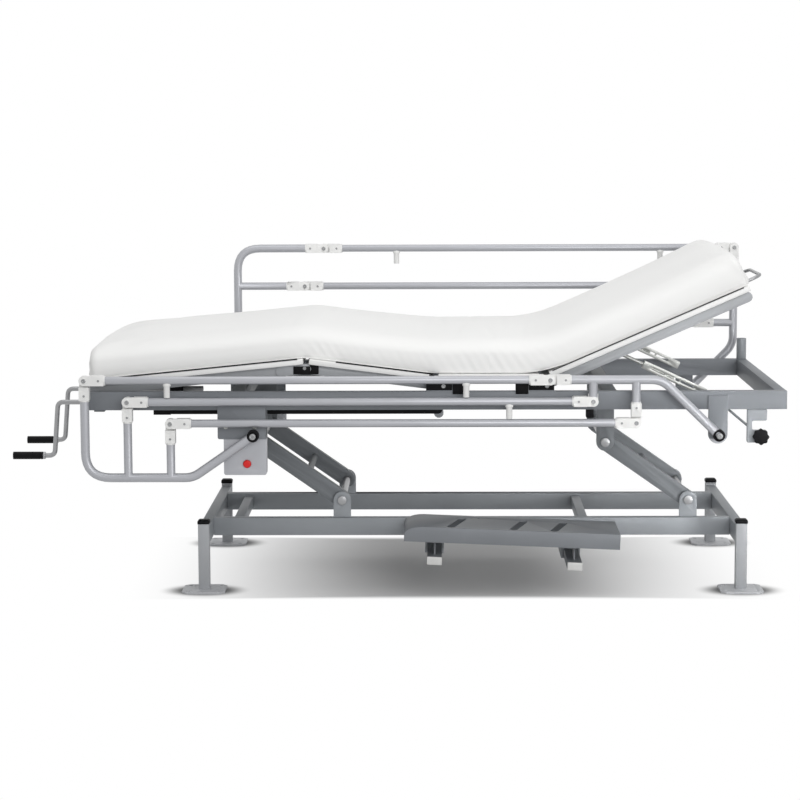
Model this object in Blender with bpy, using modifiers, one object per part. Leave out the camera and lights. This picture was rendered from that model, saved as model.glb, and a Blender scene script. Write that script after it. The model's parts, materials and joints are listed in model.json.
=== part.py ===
"""A cranked hospital bed with a pull-out step, modelled as the separate pieces it is built from.

Metres, +Z up. +X runs from the foot end to the head end and -Y is the side shown to the viewer.
The origin lies on the floor, under the middle of the bed with its crank grips.
The near side rail is folded down and the far one stands up.
"""

import math

import bmesh
import bpy
from mathutils import Euler, Matrix, Vector

# Clearances
FIT = 0.0003  # between pieces that touch
RUN = 0.0006  # between pieces that move past each other

# Bed frame
FRAME_LENGTH = 1.946
FRAME_WIDTH = 0.900
CRANK_REACH = 0.256  # far crank's grip past the foot end
KNEE_CRANK_REACH = 0.240
RAIL_TALL = 0.050
RAIL_WIDE = 0.030
RAIL_TOP_Z = 0.570
FOOT_TUBE_DROP = 0.025  # below the rails' top
FOOT_LUG_WIDE = 0.060  # holds a crank's shaft
FOOT_LUG_DROP = 0.035  # below the rails
CROSS_BAR_SIDE = 0.040
CROSS_BAR_DROP = 0.005

# Base
LEG_SIDE = 0.031
LEG_TOP_Z = 0.203
LEG_SPACING = 1.505
LEG_HEAD_INSET = 0.1125
LEG_Y = 0.379
LEG_CAP_TALL = 0.012
LEG_CAP_OVERHANG = 0.0015
FOOT_PLATE_SIDE = 0.120
FOOT_PLATE_THICK = 0.006
FOOT_PLATE_CHAMFER = 0.014
FOOT_PLATE_HOLE = 0.0055  # radius
FOOT_PLATE_HOLE_INSET = 0.018
BASE_TUBE_TALL = 0.050
BASE_TUBE_WIDE = 0.030
BASE_TOP_Z = 0.183
BASE_RAIL_Y = 0.2255
BASE_BAR_WIDE = 0.026
BASE_BAR_TALL = 0.032
BASE_BAR_DROP = 0.008
BASE_BAR_FOOT_OFFSET = 0.082  # from the foot legs
BASE_BAR_HEAD_OFFSET = 0.430  # from the head legs

# Lift arms
ARM_LENGTH = 0.2905
ARM_ANGLE = math.radians(35)
ARM_DEEP = 0.047
ARM_WIDE = 0.030
ARM_PIVOT_Z = 0.231
ARM_FOOT_OFFSET = 0.3825  # lower foot pivot from the foot legs
ARM_SPACING = 0.990
ARM_TUBE_RADIUS = 0.010
ARM_TUBE_SHARE = 0.416  # of the arm's length, from the lower pivot
LUG_THICK = 0.010
LUG_WIDE = 0.050
SHAFT_RADIUS = 0.010
SHAFT_HEAD_RADIUS = 0.013
SHAFT_HEAD_THICK = 0.006
FOOT_LUG_TOP_WIDE = 0.140

# Lift lever and rod
LIFT_LEVER = 0.070
LIFT_LEVER_LEAN = math.radians(5)  # at rest, from upright towards the foot end
LEVER_THICK = 0.010
LEVER_HALF_WIDE = 0.014
LIFT_SLOT_TRAVEL = 0.0115
LEVER_SLOT_PLAY = 0.002

# Sections of the platform
SECTION_TALL = 0.028
SECTION_WIDE = 0.025
SECTION_LIFT = 0.0015  # section tubes above the rails' top, when flat
SECTION_SIDE_GAP = 0.010  # from a section's tubes to the frame's rails
PANEL_THICK = 0.015
PANEL_OVERHANG = 0.020  # past the section's tubes
PANEL_GAP = 0.006  # between a panel's end and its hinge axis
HINGE_PIN_RADIUS = 0.006
BACK_HINGE_FROM_HEAD = 0.660
SEAT_LENGTH = 0.313
THIGH_LENGTH = 0.355
FOOT_LENGTH = 0.610
BACK_LENGTH = 0.617
BACK_ANGLE = math.radians(23.5)
THIGH_ANGLE = math.radians(7.2)
FOOT_SLOPE = math.radians(5.7)
KNEE_PLATE_THICK = 0.005
KNEE_PLATE_LENGTH = 0.070
BEARER_OVERHANG = 0.020
BEARER_REACH = 0.086  # of a seat bearer, from its hinge towards the seat's middle

# Thigh lever and knee rod
KNEE_LEVER = 0.100
KNEE_LEVER_LEAN = math.radians(8)  # at rest, from plumb towards the head end
KNEE_SLOT_TRAVEL = 0.006
ROD_THICK = 0.008
ROD_TALL = 0.024
ROD_PIN_RADIUS = 0.005

# Mattress
MATTRESS_THICK = 0.090
MATTRESS_OVERHANG = 0.010  # past the section's tubes
MATTRESS_CROWN = 0.010
MATTRESS_DRAW = 0.012  # how far the sides are drawn in at top and bottom
BACK_MITRE = math.radians(25.5)
THIGH_MITRE = math.radians(15.5)
MATTRESS_GAP = 0.002
EDGE_CROWDING = 0.22  # draws the cage's loops towards its edges

# Cranks
CRANK_Y = 0.170
CRANK_Z = 0.510
CRANK_THROW = 0.155
CRANK_NECK = 0.108  # from the foot end to the arm
LIFT_CRANK_NECK = 0.130
CRANK_ARM_LEAN = 0.012
CRANK_RADIUS = 0.007
CRANK_BEND = 0.018
SCREW_RADIUS = 0.008
SCREW_SPARE = 0.060  # past the nut at rest
COLLAR_RADIUS = 0.014
COLLAR_THICK = 0.012
GRIP_RADIUS = 0.011
GRIP_LENGTH = 0.086
GRIP_END = 0.006
NUT_LENGTH = 0.050
NUT_SIDE = 0.036

# Backrest handle and stays
HANDLE_REACH = 0.070
HANDLE_WIDTH = 0.260
HANDLE_RADIUS = 0.005
HANDLE_BEND = 0.030
STAY_PIVOT = 0.215  # along the backrest from its hinge
STAY_LENGTH = 0.2613
STAY_ANGLE = math.radians(24.96)
STAY_ROD_LENGTH = 0.175
STAY_ROD_RADIUS = 0.005
STAY_EYE_RADIUS = 0.011
STAY_EYE_THICK = 0.010
STAY_PIN_RADIUS = 0.0055
CHANNEL_LENGTH = 0.180
CHANNEL_TALL = 0.022
CHANNEL_WIDE = 0.020
CHANNEL_SLOT_LENGTH = 0.036
CHANNEL_SLOT_RADIUS = 0.0035
STAY_GAP = 0.004  # sideways, to the backrest's tube

# Side rails
RAIL_SPAN = 1.279  # between the pivots of the two end frames
RAIL_PIVOT_FROM_HEAD = 0.190
RAIL_PIVOT_Z = 0.452
RAIL_OUTSET = 0.032  # rail's plane from the frame's side
TOP_REACH = 0.4626
TOP_RISE = 0.154
LOW_REACH = 0.227
LOW_RISE = 0.035
END_DROP = 0.1156
END_KNEE = 0.167
HEAD_KNEE = 0.157
END_RADIUS = 0.0125
POST_RADIUS = 0.0118
END_BEND = 0.070
BAR_RADIUS = 0.011
FITTING_SIDE = 0.028
FITTING_THICK = 0.026
FITTING_START = 0.018
FITTING_END = 0.058
KNUCKLE_RADIUS = 0.014
PIVOT_PIN_RADIUS = 0.006
PIVOT_BOSS_RADIUS = 0.0165
PIVOT_HEAD_RADIUS = 0.0085
PIVOT_HEAD_THICK = 0.005
BRACKET_THICK = 0.008
HEAD_BRACKET_WIDE = 0.053
FOOT_BRACKET_WIDE = 0.132
FOOT_BRACKET_RIGHT = 0.0325  # past the pivot
FOOT_BRACKET_DROP = 0.012  # below the pivot
FOOT_BRACKET_ROUND = 0.005
BRACKET_TOP_INSET = 0.012
SPACER_RADIUS = 0.0085
SPACER_FOOT_AT = 0.227  # along a bar
SPACER_HEAD_AT = 1.049
RELEASE_WIDE = 0.118
RELEASE_RIGHT = 0.035  # past the pivot
RELEASE_TALL = 0.100
RELEASE_DEEP = 0.040
RELEASE_DROP = 0.012  # top of the release box below the pivot
BUTTON_RADIUS = 0.011
BUTTON_LENGTH = 0.016
BUTTON_PROUD = 0.006
BUTTON_TRAVEL = 0.004
BUTTON_DROP = 0.081  # below the pivot
BUTTON_OFFSET = -0.019

# Pole socket and accessory clamp
SOCKET_RADIUS = 0.015
SOCKET_BORE = 0.012
SOCKET_TALL = 0.064
CLAMP_FROM_HEAD = 0.053
CLAMP_WIDE = 0.055
CLAMP_TALL = 0.094
CLAMP_THICK = 0.012
CLAMP_SLOT_TALL = 0.026
CLAMP_SLOT_DEEP = 0.041
CLAMP_SLOT_DROP = 0.033
KNOB_RADIUS = 0.021
KNOB_THICK = 0.016
KNOB_LOBES = 8
KNOB_LOBE_DEPTH = 0.0018
CLAMP_SCREW_RADIUS = 0.004
CLAMP_NUT_RADIUS = 0.007
CLAMP_NUT_THICK = 0.006

# Step
STEP_LENGTH = 0.599
STEP_DEEP = 0.220
STEP_TOP_Z = 0.185
STEP_TALL = 0.042
STEP_NOSE = 0.055  # run of the rounded foot end
STEP_NOSE_DROP = 0.023
STEP_LEAN = math.radians(2.4)  # head end lower
STEP_SHEET = 0.003
STEP_FRONT_Y = -0.463
STEP_FROM_HEAD = 0.459
STEP_SLIDE_SPACING = 0.390
STEP_SLIDE_FROM_END = 0.122
STEP_SLIDE_WIDE = 0.040
STEP_SLIDE_TALL = 0.021
STEP_SLIDE_Z = 0.090
STEP_SLIDE_INSET = 0.008
STEP_SLIDE_LENGTH = 0.505
STEP_POST_WIDE = 0.004
STEP_POST_DEEP = 0.060
STEP_SLOT_LENGTH = 0.134  # between the centres of its round ends, across the step
STEP_SLOT_SLANT = 0.033
STEP_SLOT_START = 0.024  # first centre from the step's front
STEP_SLOT_RADIUS = 0.012
STEP_SLOTS = (0.145, 0.319, 0.432)  # from the step's foot end
STEP_HOLES = (0.188, 0.208)
STEP_HOLE_RADIUS = 0.0045
STEP_HOLE_INSET = 0.037
GUIDE_WALL = 0.006
GUIDE_DEEP = 0.150
GUIDE_ROOT = 0.018  # guide's top above the rail's underside

# Places that follow from the sizes
HEAD_X = (FRAME_LENGTH + CRANK_REACH) / 2
FOOT_X = HEAD_X - FRAME_LENGTH
SIDE_Y = FRAME_WIDTH / 2
INNER_Y = SIDE_Y - RAIL_WIDE
RAIL_BOTTOM_Z = RAIL_TOP_Z - RAIL_TALL
LEG_HEAD_X = HEAD_X - LEG_HEAD_INSET
LEG_FOOT_X = LEG_HEAD_X - LEG_SPACING
BASE_BOTTOM_Z = BASE_TOP_Z - BASE_TUBE_TALL
ARM_FOOT_X = LEG_FOOT_X + ARM_FOOT_OFFSET
ARM_HEAD_X = ARM_FOOT_X + ARM_SPACING
ARM_RUN = ARM_LENGTH * math.cos(ARM_ANGLE)
UPPER_PIVOT_Z = ARM_PIVOT_Z + ARM_LENGTH * math.sin(ARM_ANGLE)
LUG_INNER_Y = BASE_RAIL_Y - BASE_TUBE_WIDE / 2 + 0.001
LUG_Y = LUG_INNER_Y + LUG_THICK / 2
LUG_OUTER_Y = LUG_INNER_Y + LUG_THICK
ARM_Y = LUG_INNER_Y - 2 * RUN - ARM_WIDE / 2
SECTION_MID_Z = RAIL_TOP_Z + SECTION_LIFT + SECTION_TALL / 2
PANEL_LOW = SECTION_TALL / 2 + FIT  # panel's underside above the hinge axis
PANEL_HIGH = PANEL_LOW + PANEL_THICK
BACK_HINGE_X = HEAD_X - BACK_HINGE_FROM_HEAD
THIGH_HINGE_X = BACK_HINGE_X - SEAT_LENGTH
SECTION_HALF_WIDTH = INNER_Y - SECTION_SIDE_GAP
PANEL_HALF_WIDTH = SECTION_HALF_WIDTH + PANEL_OVERHANG
MATTRESS_HALF_WIDTH = SECTION_HALF_WIDTH + MATTRESS_OVERHANG
SECTION_Y = SECTION_HALF_WIDTH - SECTION_WIDE / 2
STAY_Y = SECTION_HALF_WIDTH - SECTION_WIDE - STAY_GAP - CHANNEL_WIDE / 2
RAIL_PLANE_Y = SIDE_Y + RAIL_OUTSET
RAIL_HEAD_X = HEAD_X - RAIL_PIVOT_FROM_HEAD
RAIL_FOOT_X = RAIL_HEAD_X - RAIL_SPAN
KNEE_ROD_Z = SECTION_MID_Z - KNEE_LEVER * math.cos(KNEE_LEVER_LEAN)
KNEE_PIN_X = THIGH_HINGE_X + KNEE_LEVER * math.sin(KNEE_LEVER_LEAN)
LIFT_ROD_Z = UPPER_PIVOT_Z + LIFT_LEVER * math.cos(LIFT_LEVER_LEAN)
LIFT_PIN_X = ARM_FOOT_X - ARM_RUN - LIFT_LEVER * math.sin(LIFT_LEVER_LEAN)
FOOT_LUG_LEFT_X = ARM_FOOT_X - ARM_RUN + LUG_WIDE / 2 - FOOT_LUG_TOP_WIDE
NUT_X = (FOOT_X + RAIL_WIDE + FOOT_LUG_LEFT_X) / 2
SCREW_LENGTH = NUT_X - FOOT_X + NUT_LENGTH / 2 + SCREW_SPARE
FOLD_POINTS = [
    (-TOP_REACH, TOP_RISE),
    (-(TOP_REACH + LOW_REACH) / 2, (TOP_RISE + LOW_RISE) / 2),
    (-LOW_REACH, LOW_RISE),
]
FOLD_NAMES = ("top", "middle", "bottom")
SIDES = (("near", -1), ("far", 1))

OBJECT_NAME = "hospital_bed"
ROUND = 12
SMALL_ROUND = 10
BEVEL_RESOLUTION = 4
ARC_STEPS = 6
AXIS_MARK = 0.05  # drawn size of a joint's empty


# Scene and materials


def clear_scene():
    for obj in list(bpy.data.objects):
        bpy.data.objects.remove(obj, do_unlink=True)


def collection(name):
    made = bpy.data.collections.new(name)
    bpy.context.scene.collection.children.link(made)
    return made


def material(name, colour, roughness, metallic=0.0):
    made = bpy.data.materials.new(name)
    made.use_nodes = True
    shader = made.node_tree.nodes["Principled BSDF"]
    shader.inputs["Base Color"].default_value = (*colour, 1)
    shader.inputs["Roughness"].default_value = roughness
    shader.inputs["Metallic"].default_value = metallic
    return made


clear_scene()
PARTS = collection(OBJECT_NAME)
WORK = collection("work_pieces")
PAINT = material("silver_paint", (0.34, 0.35, 0.37), 0.42, 0.55)
DARK_PAINT = material("shaded_grey_paint", (0.22, 0.23, 0.25), 0.5, 0.4)
ZINC = material("zinc_plate", (0.62, 0.63, 0.60), 0.3, 0.9)
STEEL = material("bright_steel", (0.70, 0.71, 0.72), 0.22, 1.0)
BLACK = material("black_plastic", (0.012, 0.012, 0.013), 0.45)
RED = material("red_plastic", (0.75, 0.03, 0.03), 0.35)
PANEL = material("white_panel", (0.86, 0.86, 0.85), 0.4)
COVER = material("white_cover", (0.88, 0.88, 0.86), 0.6)


# Outlines in the plane of a plate


def arc(centre, radius, start, end, steps=ARC_STEPS):
    """Points on an arc, angles in degrees, both ends included."""
    angles = [math.radians(start + (end - start) * i / steps) for i in range(steps + 1)]
    return [(centre[0] + radius * math.cos(a), centre[1] + radius * math.sin(a)) for a in angles]


def circle(centre, radius, sides=ROUND):
    return arc(centre, radius, 0, 360 * (sides - 1) / sides, sides - 1)


def rectangle(low, high):
    return [low, (high[0], low[1]), high, (low[0], high[1])]


def capsule(start, end, radius, steps=6):
    """A strip with round ends from one centre to another."""
    turn = math.degrees(math.atan2(end[1] - start[1], end[0] - start[0]))
    head = arc(end, radius, turn - 90, turn + 90, steps)
    return head + arc(start, radius, turn + 90, turn + 270, steps)


def fillet(before, corner, after, radius, steps=ARC_STEPS):
    """The points that round one corner of a path."""
    corner = Vector(corner)
    to_before = Vector(before) - corner
    to_after = Vector(after) - corner
    half = to_before.angle(to_after) / 2
    reach = radius / math.tan(half)
    limit = 0.499 * min(to_before.length, to_after.length)
    reach = min(reach, limit)
    bend = reach * math.tan(half)
    middle = (to_before.normalized() + to_after.normalized()).normalized()
    centre = corner + middle * (bend / math.sin(half))
    first = corner + to_before.normalized() * reach - centre
    last = corner + to_after.normalized() * reach - centre
    sweep = first.angle(last)
    points = []
    for i in range(steps + 1):
        share = i / steps
        blend = first * math.sin((1 - share) * sweep) + last * math.sin(share * sweep)
        points.append(tuple(centre + blend / math.sin(sweep)))
    return points


def rounded(points, radius, closed=True):
    """A path with every corner rounded; an open path keeps its two ends."""
    count = len(points)
    made = []
    for i, point in enumerate(points):
        if not closed and i in (0, count - 1):
            made.append(tuple(point))
        else:
            made += fillet(points[i - 1], point, points[(i + 1) % count], radius)
    return made


# Solids


def work_object(mesh):
    obj = bpy.data.objects.new(mesh.name, mesh)
    WORK.objects.link(obj)
    return obj


def from_bmesh(bm):
    mesh = bpy.data.meshes.new("work")
    bm.to_mesh(mesh)
    bm.free()
    return work_object(mesh)


def box(low, high):
    bm = bmesh.new()
    bmesh.ops.create_cube(bm, size=1)
    low, high = Vector(low), Vector(high)
    bmesh.ops.scale(bm, vec=high - low, verts=bm.verts)
    bmesh.ops.translate(bm, vec=(low + high) / 2, verts=bm.verts)
    return from_bmesh(bm)


def rod(start, end, radius, sides=ROUND):
    start, end = Vector(start), Vector(end)
    bm = bmesh.new()
    bmesh.ops.create_cone(
        bm, cap_ends=True, segments=sides, radius1=radius, radius2=radius, depth=(end - start).length
    )
    turn = (end - start).to_track_quat("Z", "Y").to_matrix()
    bmesh.ops.rotate(bm, matrix=turn, verts=bm.verts)
    bmesh.ops.translate(bm, vec=(start + end) / 2, verts=bm.verts)
    return from_bmesh(bm)


def cross_rod(x, z, y_start, y_end, radius, sides=ROUND):
    """A round bar across the bed."""
    return rod((x, y_start, z), (x, y_end, z), radius, sides)


def mesh_of_curve(curve):
    """The curve's surface as a mesh object with its caps welded on."""
    graph = bpy.context.evaluated_depsgraph_get()
    mesh = bpy.data.meshes.new_from_object(curve.evaluated_get(graph))
    bm = bmesh.new()
    bm.from_mesh(mesh)
    bmesh.ops.remove_doubles(bm, verts=bm.verts, dist=1e-6)
    bmesh.ops.recalc_face_normals(bm, faces=bm.faces)
    bm.to_mesh(mesh)
    bm.free()
    made = work_object(mesh)
    made.matrix_world = curve.matrix_world.copy()
    bpy.data.objects.remove(curve, do_unlink=True)
    return made


def curve_object(dimensions, splines, closed):
    data = bpy.data.curves.new("work", "CURVE")
    data.dimensions = dimensions
    for points in splines:
        spline = data.splines.new("POLY")
        spline.points.add(len(points) - 1)
        for target, point in zip(spline.points, points):
            target.co = (*point, 1) if len(point) == 3 else (*point, 0, 1)
        spline.use_cyclic_u = closed
    curve = bpy.data.objects.new("work", data)
    WORK.objects.link(curve)
    return curve


def plate(outline, y_low, y_high, holes=()):
    """An outline in X and Z, thick in Y, with holes through it."""
    curve = curve_object("2D", [outline, *holes], True)
    curve.data.fill_mode = "BOTH"
    curve.data.extrude = abs(y_high - y_low) / 2
    curve.rotation_euler = (math.pi / 2, 0, 0)
    curve.location = (0, (y_low + y_high) / 2, 0)
    bpy.context.view_layer.update()
    made = mesh_of_curve(curve)
    made.data.transform(made.matrix_world)
    made.matrix_world.identity()
    return made


def pipe(points, radius):
    """A bent round tube along points in space."""
    curve = curve_object("3D", [points], False)
    curve.data.bevel_depth = radius
    curve.data.bevel_resolution = BEVEL_RESOLUTION
    curve.data.use_fill_caps = True
    bpy.context.view_layer.update()
    return mesh_of_curve(curve)


def combine(target, tools, operation):
    """One Boolean of the target with all the tools, applied."""
    group = bpy.data.collections.new("tools")
    for tool in tools:
        group.objects.link(tool)
    modifier = target.modifiers.new(operation, "BOOLEAN")
    modifier.operation = operation
    modifier.operand_type = "COLLECTION"
    modifier.collection = group
    modifier.solver = "EXACT"
    bpy.context.view_layer.update()
    graph = bpy.context.evaluated_depsgraph_get()
    mesh = bpy.data.meshes.new_from_object(target.evaluated_get(graph))
    target.modifiers.clear()
    target.data = mesh
    for tool in tools:
        bpy.data.objects.remove(tool, do_unlink=True)
    bpy.data.collections.remove(group)


def part(name, look, pieces, cuts=(), parent=None):
    """The named sub-part: its pieces joined, its cuts taken out."""
    obj = pieces[0]
    if len(pieces) > 1:
        combine(obj, pieces[1:], "UNION")
    if cuts:
        combine(obj, list(cuts), "DIFFERENCE")
    obj.name = name
    obj.data.name = name
    obj.data.materials.clear()
    obj.data.materials.append(look)
    WORK.objects.unlink(obj)
    PARTS.objects.link(obj)
    obj.parent = parent
    return obj


def axis(name, place, turn=0.0, parent=None):
    """An empty on a joint's axis, turned about Y."""
    empty = bpy.data.objects.new(name, None)
    empty.empty_display_size = AXIS_MARK
    empty.location = place
    empty.rotation_euler = Euler((0, turn, 0))
    empty.parent = parent
    PARTS.objects.link(empty)
    bpy.context.view_layer.update()
    return empty


# Base


def leg(end_name, side_name, x, y):
    half = LEG_SIDE / 2
    cap = half + LEG_CAP_OVERHANG
    tube = box((x - half, y - half, 0), (x + half, y + half, LEG_TOP_Z - LEG_CAP_TALL))
    crown = box((x - cap, y - cap, LEG_TOP_Z - LEG_CAP_TALL), (x + cap, y + cap, LEG_TOP_Z))
    reach = FOOT_PLATE_SIDE / 2
    cut = reach - FOOT_PLATE_CHAMFER
    corners = [
        (cut, -reach), (reach, -cut), (reach, cut), (cut, reach),
        (-cut, reach), (-reach, cut), (-reach, -cut), (-cut, -reach),
    ]
    hole = reach - FOOT_PLATE_HOLE_INSET
    holes = [circle((sx * hole, sy * hole), FOOT_PLATE_HOLE, SMALL_ROUND) for sx in (-1, 1) for sy in (-1, 1)]
    floor = curve_object("2D", [corners, *holes], True)
    floor.data.fill_mode = "BOTH"
    floor.data.extrude = FOOT_PLATE_THICK / 2
    floor.location = (x, y, FOOT_PLATE_THICK / 2)
    bpy.context.view_layer.update()
    floor = mesh_of_curve(floor)
    part(f"leg_{end_name}_{side_name}", PAINT, [floor, tube, crown])


def base_end_tube(end_name, x):
    reach = LEG_Y - LEG_SIDE / 2 - FIT
    half = BASE_TUBE_WIDE / 2
    tube = box((x - half, -reach, BASE_BOTTOM_Z), (x + half, reach, BASE_TOP_Z))
    part(f"base_end_tube_{end_name}", PAINT, [tube])


def step_leaned(piece):
    """Turn a piece of the step about the middle of its slides, by the step's lean."""
    middle = Vector((sum(step_slide_places()) / 2, 0, STEP_SLIDE_Z))
    turn = Matrix.Rotation(STEP_LEAN, 4, "Y")
    piece.data.transform(Matrix.Translation(middle) @ turn @ Matrix.Translation(-middle))
    return piece


def step_guide(x, front_y):
    """A long sleeve under a base rail that one of the step's slides runs in."""
    half = STEP_SLIDE_WIDE / 2 + RUN
    tall = STEP_SLIDE_TALL / 2 + RUN
    back_y = front_y + GUIDE_DEEP
    wall = half + GUIDE_WALL
    outer = box(
        (x - wall, front_y, STEP_SLIDE_Z - tall - GUIDE_WALL),
        (x + wall, back_y, STEP_SLIDE_Z + tall + GUIDE_WALL),
    )
    bore = box(
        (x - half, front_y - GUIDE_WALL, STEP_SLIDE_Z - tall),
        (x + half, back_y + GUIDE_WALL, STEP_SLIDE_Z + tall),
    )
    web = box(
        (x - wall, front_y, STEP_SLIDE_Z + tall + GUIDE_WALL / 2),
        (x + wall, front_y + BASE_TUBE_WIDE, BASE_BOTTOM_Z + GUIDE_ROOT),
    )
    return [step_leaned(outer), step_leaned(web)], step_leaned(bore)


def step_slide_places():
    first = HEAD_X - STEP_FROM_HEAD - STEP_SLIDE_FROM_END - STEP_SLIDE_SPACING
    return [first, first + STEP_SLIDE_SPACING]


def base_rail(side_name, side):
    """A long base rail with its two lift lugs, and the step's two guides on the step's side."""
    gap = BASE_TUBE_WIDE / 2 + FIT
    y = side * BASE_RAIL_Y
    half = BASE_TUBE_WIDE / 2
    pieces = [box((LEG_FOOT_X + gap, y - half, BASE_BOTTOM_Z), (LEG_HEAD_X - gap, y + half, BASE_TOP_Z))]
    cuts = []
    radius = LUG_WIDE / 2
    for x in (ARM_FOOT_X, ARM_HEAD_X):
        outline = [(x - radius, BASE_BOTTOM_Z + half), (x + radius, BASE_BOTTOM_Z + half)]
        outline += arc((x, ARM_PIVOT_Z), radius, 0, 180, 12)
        hole = circle((x, ARM_PIVOT_Z), SHAFT_RADIUS + FIT)
        pieces.append(plate(outline, side * LUG_INNER_Y, side * LUG_OUTER_Y, [hole]))
    for x in step_slide_places() if side < 0 else ():
        sleeve, bore = step_guide(x, y - half)
        pieces += sleeve
        cuts.append(bore)
    part(f"base_rail_{side_name}", PAINT, pieces, cuts)


def base_cross_bar(end_name, x):
    reach = BASE_RAIL_Y - BASE_TUBE_WIDE / 2 - FIT
    half = BASE_BAR_WIDE / 2
    top = BASE_TOP_Z - BASE_BAR_DROP
    bar = box((x - half, -reach, top - BASE_BAR_TALL), (x + half, reach, top))
    part(f"base_cross_bar_{end_name}", PAINT, [bar])


def pivot_shaft(name, x, z):
    """A shaft through both lugs, with a head outside each."""
    inner = LUG_OUTER_Y + FIT
    outer = inner + SHAFT_HEAD_THICK
    pieces = [cross_rod(x, z, -inner, inner, SHAFT_RADIUS)]
    for _, side in SIDES:
        root = side * (inner - FIT / 2)
        pieces.append(cross_rod(x, z, root, side * outer, SHAFT_HEAD_RADIUS))
    part(name, STEEL, pieces)


def base():
    for end_name, x in (("foot", LEG_FOOT_X), ("head", LEG_HEAD_X)):
        for side_name, side in SIDES:
            leg(end_name, side_name, x, side * LEG_Y)
        base_end_tube(end_name, x)
    for side_name, side in SIDES:
        base_rail(side_name, side)
    base_cross_bar("foot", LEG_FOOT_X + BASE_BAR_FOOT_OFFSET)
    base_cross_bar("head", LEG_HEAD_X - BASE_BAR_HEAD_OFFSET)
    pivot_shaft("lower_shaft_foot", ARM_FOOT_X, ARM_PIVOT_Z)
    pivot_shaft("lower_shaft_head", ARM_HEAD_X, ARM_PIVOT_Z)


# Step


def step_nose(foot_end, inset):
    """The rounded foot end of the step's outline, from its top down."""
    middle_x, middle_z = foot_end + STEP_NOSE, STEP_TOP_Z - STEP_NOSE_DROP
    wide, tall = STEP_NOSE - inset, STEP_NOSE_DROP - inset
    return [(middle_x + wide * x, middle_z + tall * z) for x, z in arc((0, 0), 1, 90, 180)]


def step():
    """A folded tray on two slides that run under the base."""
    foot_end = HEAD_X - STEP_FROM_HEAD - STEP_LENGTH
    head_end = foot_end + STEP_LENGTH
    low = STEP_TOP_Z - STEP_TALL
    back_y = STEP_FRONT_Y + STEP_DEEP
    sheet = STEP_SHEET
    outline = [(foot_end, low), (head_end, low), (head_end, STEP_TOP_Z)]
    outline += step_nose(foot_end, 0)
    inside = [
        (foot_end + sheet, low - sheet),
        (head_end - sheet, low - sheet),
        (head_end - sheet, STEP_TOP_Z - sheet),
    ]
    inside += step_nose(foot_end, sheet)
    tray = plate(outline, STEP_FRONT_Y, back_y)
    hollow = plate(inside, STEP_FRONT_Y + sheet, back_y - sheet)
    slots = []
    for place in STEP_SLOTS:
        x = foot_end + place
        y = STEP_FRONT_Y + STEP_SLOT_START
        slant = STEP_SLOT_SLANT / 2
        ends = [(x - slant, y), (x + slant, y + STEP_SLOT_LENGTH)]
        slot = curve_object("2D", [capsule(*ends, STEP_SLOT_RADIUS)], True)
        slot.data.fill_mode = "BOTH"
        slot.data.extrude = 2 * sheet
        slot.location = (0, 0, STEP_TOP_Z)
        bpy.context.view_layer.update()
        slots.append(mesh_of_curve(slot))
    for place in STEP_HOLES:
        x, y = foot_end + place, back_y - STEP_HOLE_INSET
        slots.append(rod((x, y, low), (x, y, STEP_TOP_Z + sheet), STEP_HOLE_RADIUS, SMALL_ROUND))
    combine(tray, [hollow, *slots], "DIFFERENCE")
    pieces = [tray]
    half = STEP_SLIDE_WIDE / 2
    tall = STEP_SLIDE_TALL / 2
    for x in step_slide_places():
        slide_y = STEP_FRONT_Y + STEP_SLIDE_INSET
        slide_low = (x - half, slide_y, STEP_SLIDE_Z - tall)
        slide_high = (x + half, slide_y + STEP_SLIDE_LENGTH, STEP_SLIDE_Z + tall)
        pieces.append(box(slide_low, slide_high))
        post_y = STEP_FRONT_Y + STEP_DEEP / 2 - STEP_POST_DEEP
        post_low = (x - STEP_POST_WIDE / 2, post_y, STEP_SLIDE_Z)
        post_high = (x + STEP_POST_WIDE / 2, post_y + STEP_POST_DEEP, STEP_TOP_Z - sheet / 2)
        pieces.append(box(post_low, post_high))
    part("step_tray", PAINT, [step_leaned(piece) for piece in pieces])


# Lift arms


def lift_arm(end_name, pivot, lever):
    """Two side bars and a cross tube, from the lower pivot up towards the foot end."""
    top = (-ARM_RUN, UPPER_PIVOT_Z - ARM_PIVOT_Z)
    hole = SHAFT_RADIUS + RUN
    pieces = []
    for _, side in SIDES:
        inner, outer = side * (ARM_Y - ARM_WIDE / 2), side * (ARM_Y + ARM_WIDE / 2)
        outline = capsule((0, 0), top, ARM_DEEP / 2)
        pieces.append(plate(outline, inner, outer, [circle((0, 0), hole), circle(top, hole)]))
    reach = ARM_Y
    tube_x, tube_z = [ARM_TUBE_SHARE * value for value in top]
    pieces.append(cross_rod(tube_x, tube_z, -reach, reach, ARM_TUBE_RADIUS))
    if lever:
        pieces.append(lift_lever(top, hole))
    part(f"{end_name}_lift_arm", PAINT, pieces, parent=pivot)


def lift_lever(top, hole):
    """A slotted lever on the far bar's inner face, standing up from the upper pivot."""
    lean = (-math.sin(LIFT_LEVER_LEAN), math.cos(LIFT_LEVER_LEAN))
    near_end = LIFT_LEVER - RUN
    far_end = LIFT_LEVER + LIFT_SLOT_TRAVEL
    tip = far_end + ROD_PIN_RADIUS
    inner = ARM_Y - ARM_WIDE / 2 - LEVER_THICK + RUN
    at = [(top[0] + lean[0] * reach, top[1] + lean[1] * reach) for reach in (near_end, far_end, tip)]
    outline = capsule(top, at[2], LEVER_HALF_WIDE)
    slot = capsule(at[0], at[1], ROD_PIN_RADIUS + LEVER_SLOT_PLAY)
    return plate(outline, inner, inner + LEVER_THICK, [circle(top, hole), slot])


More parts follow.
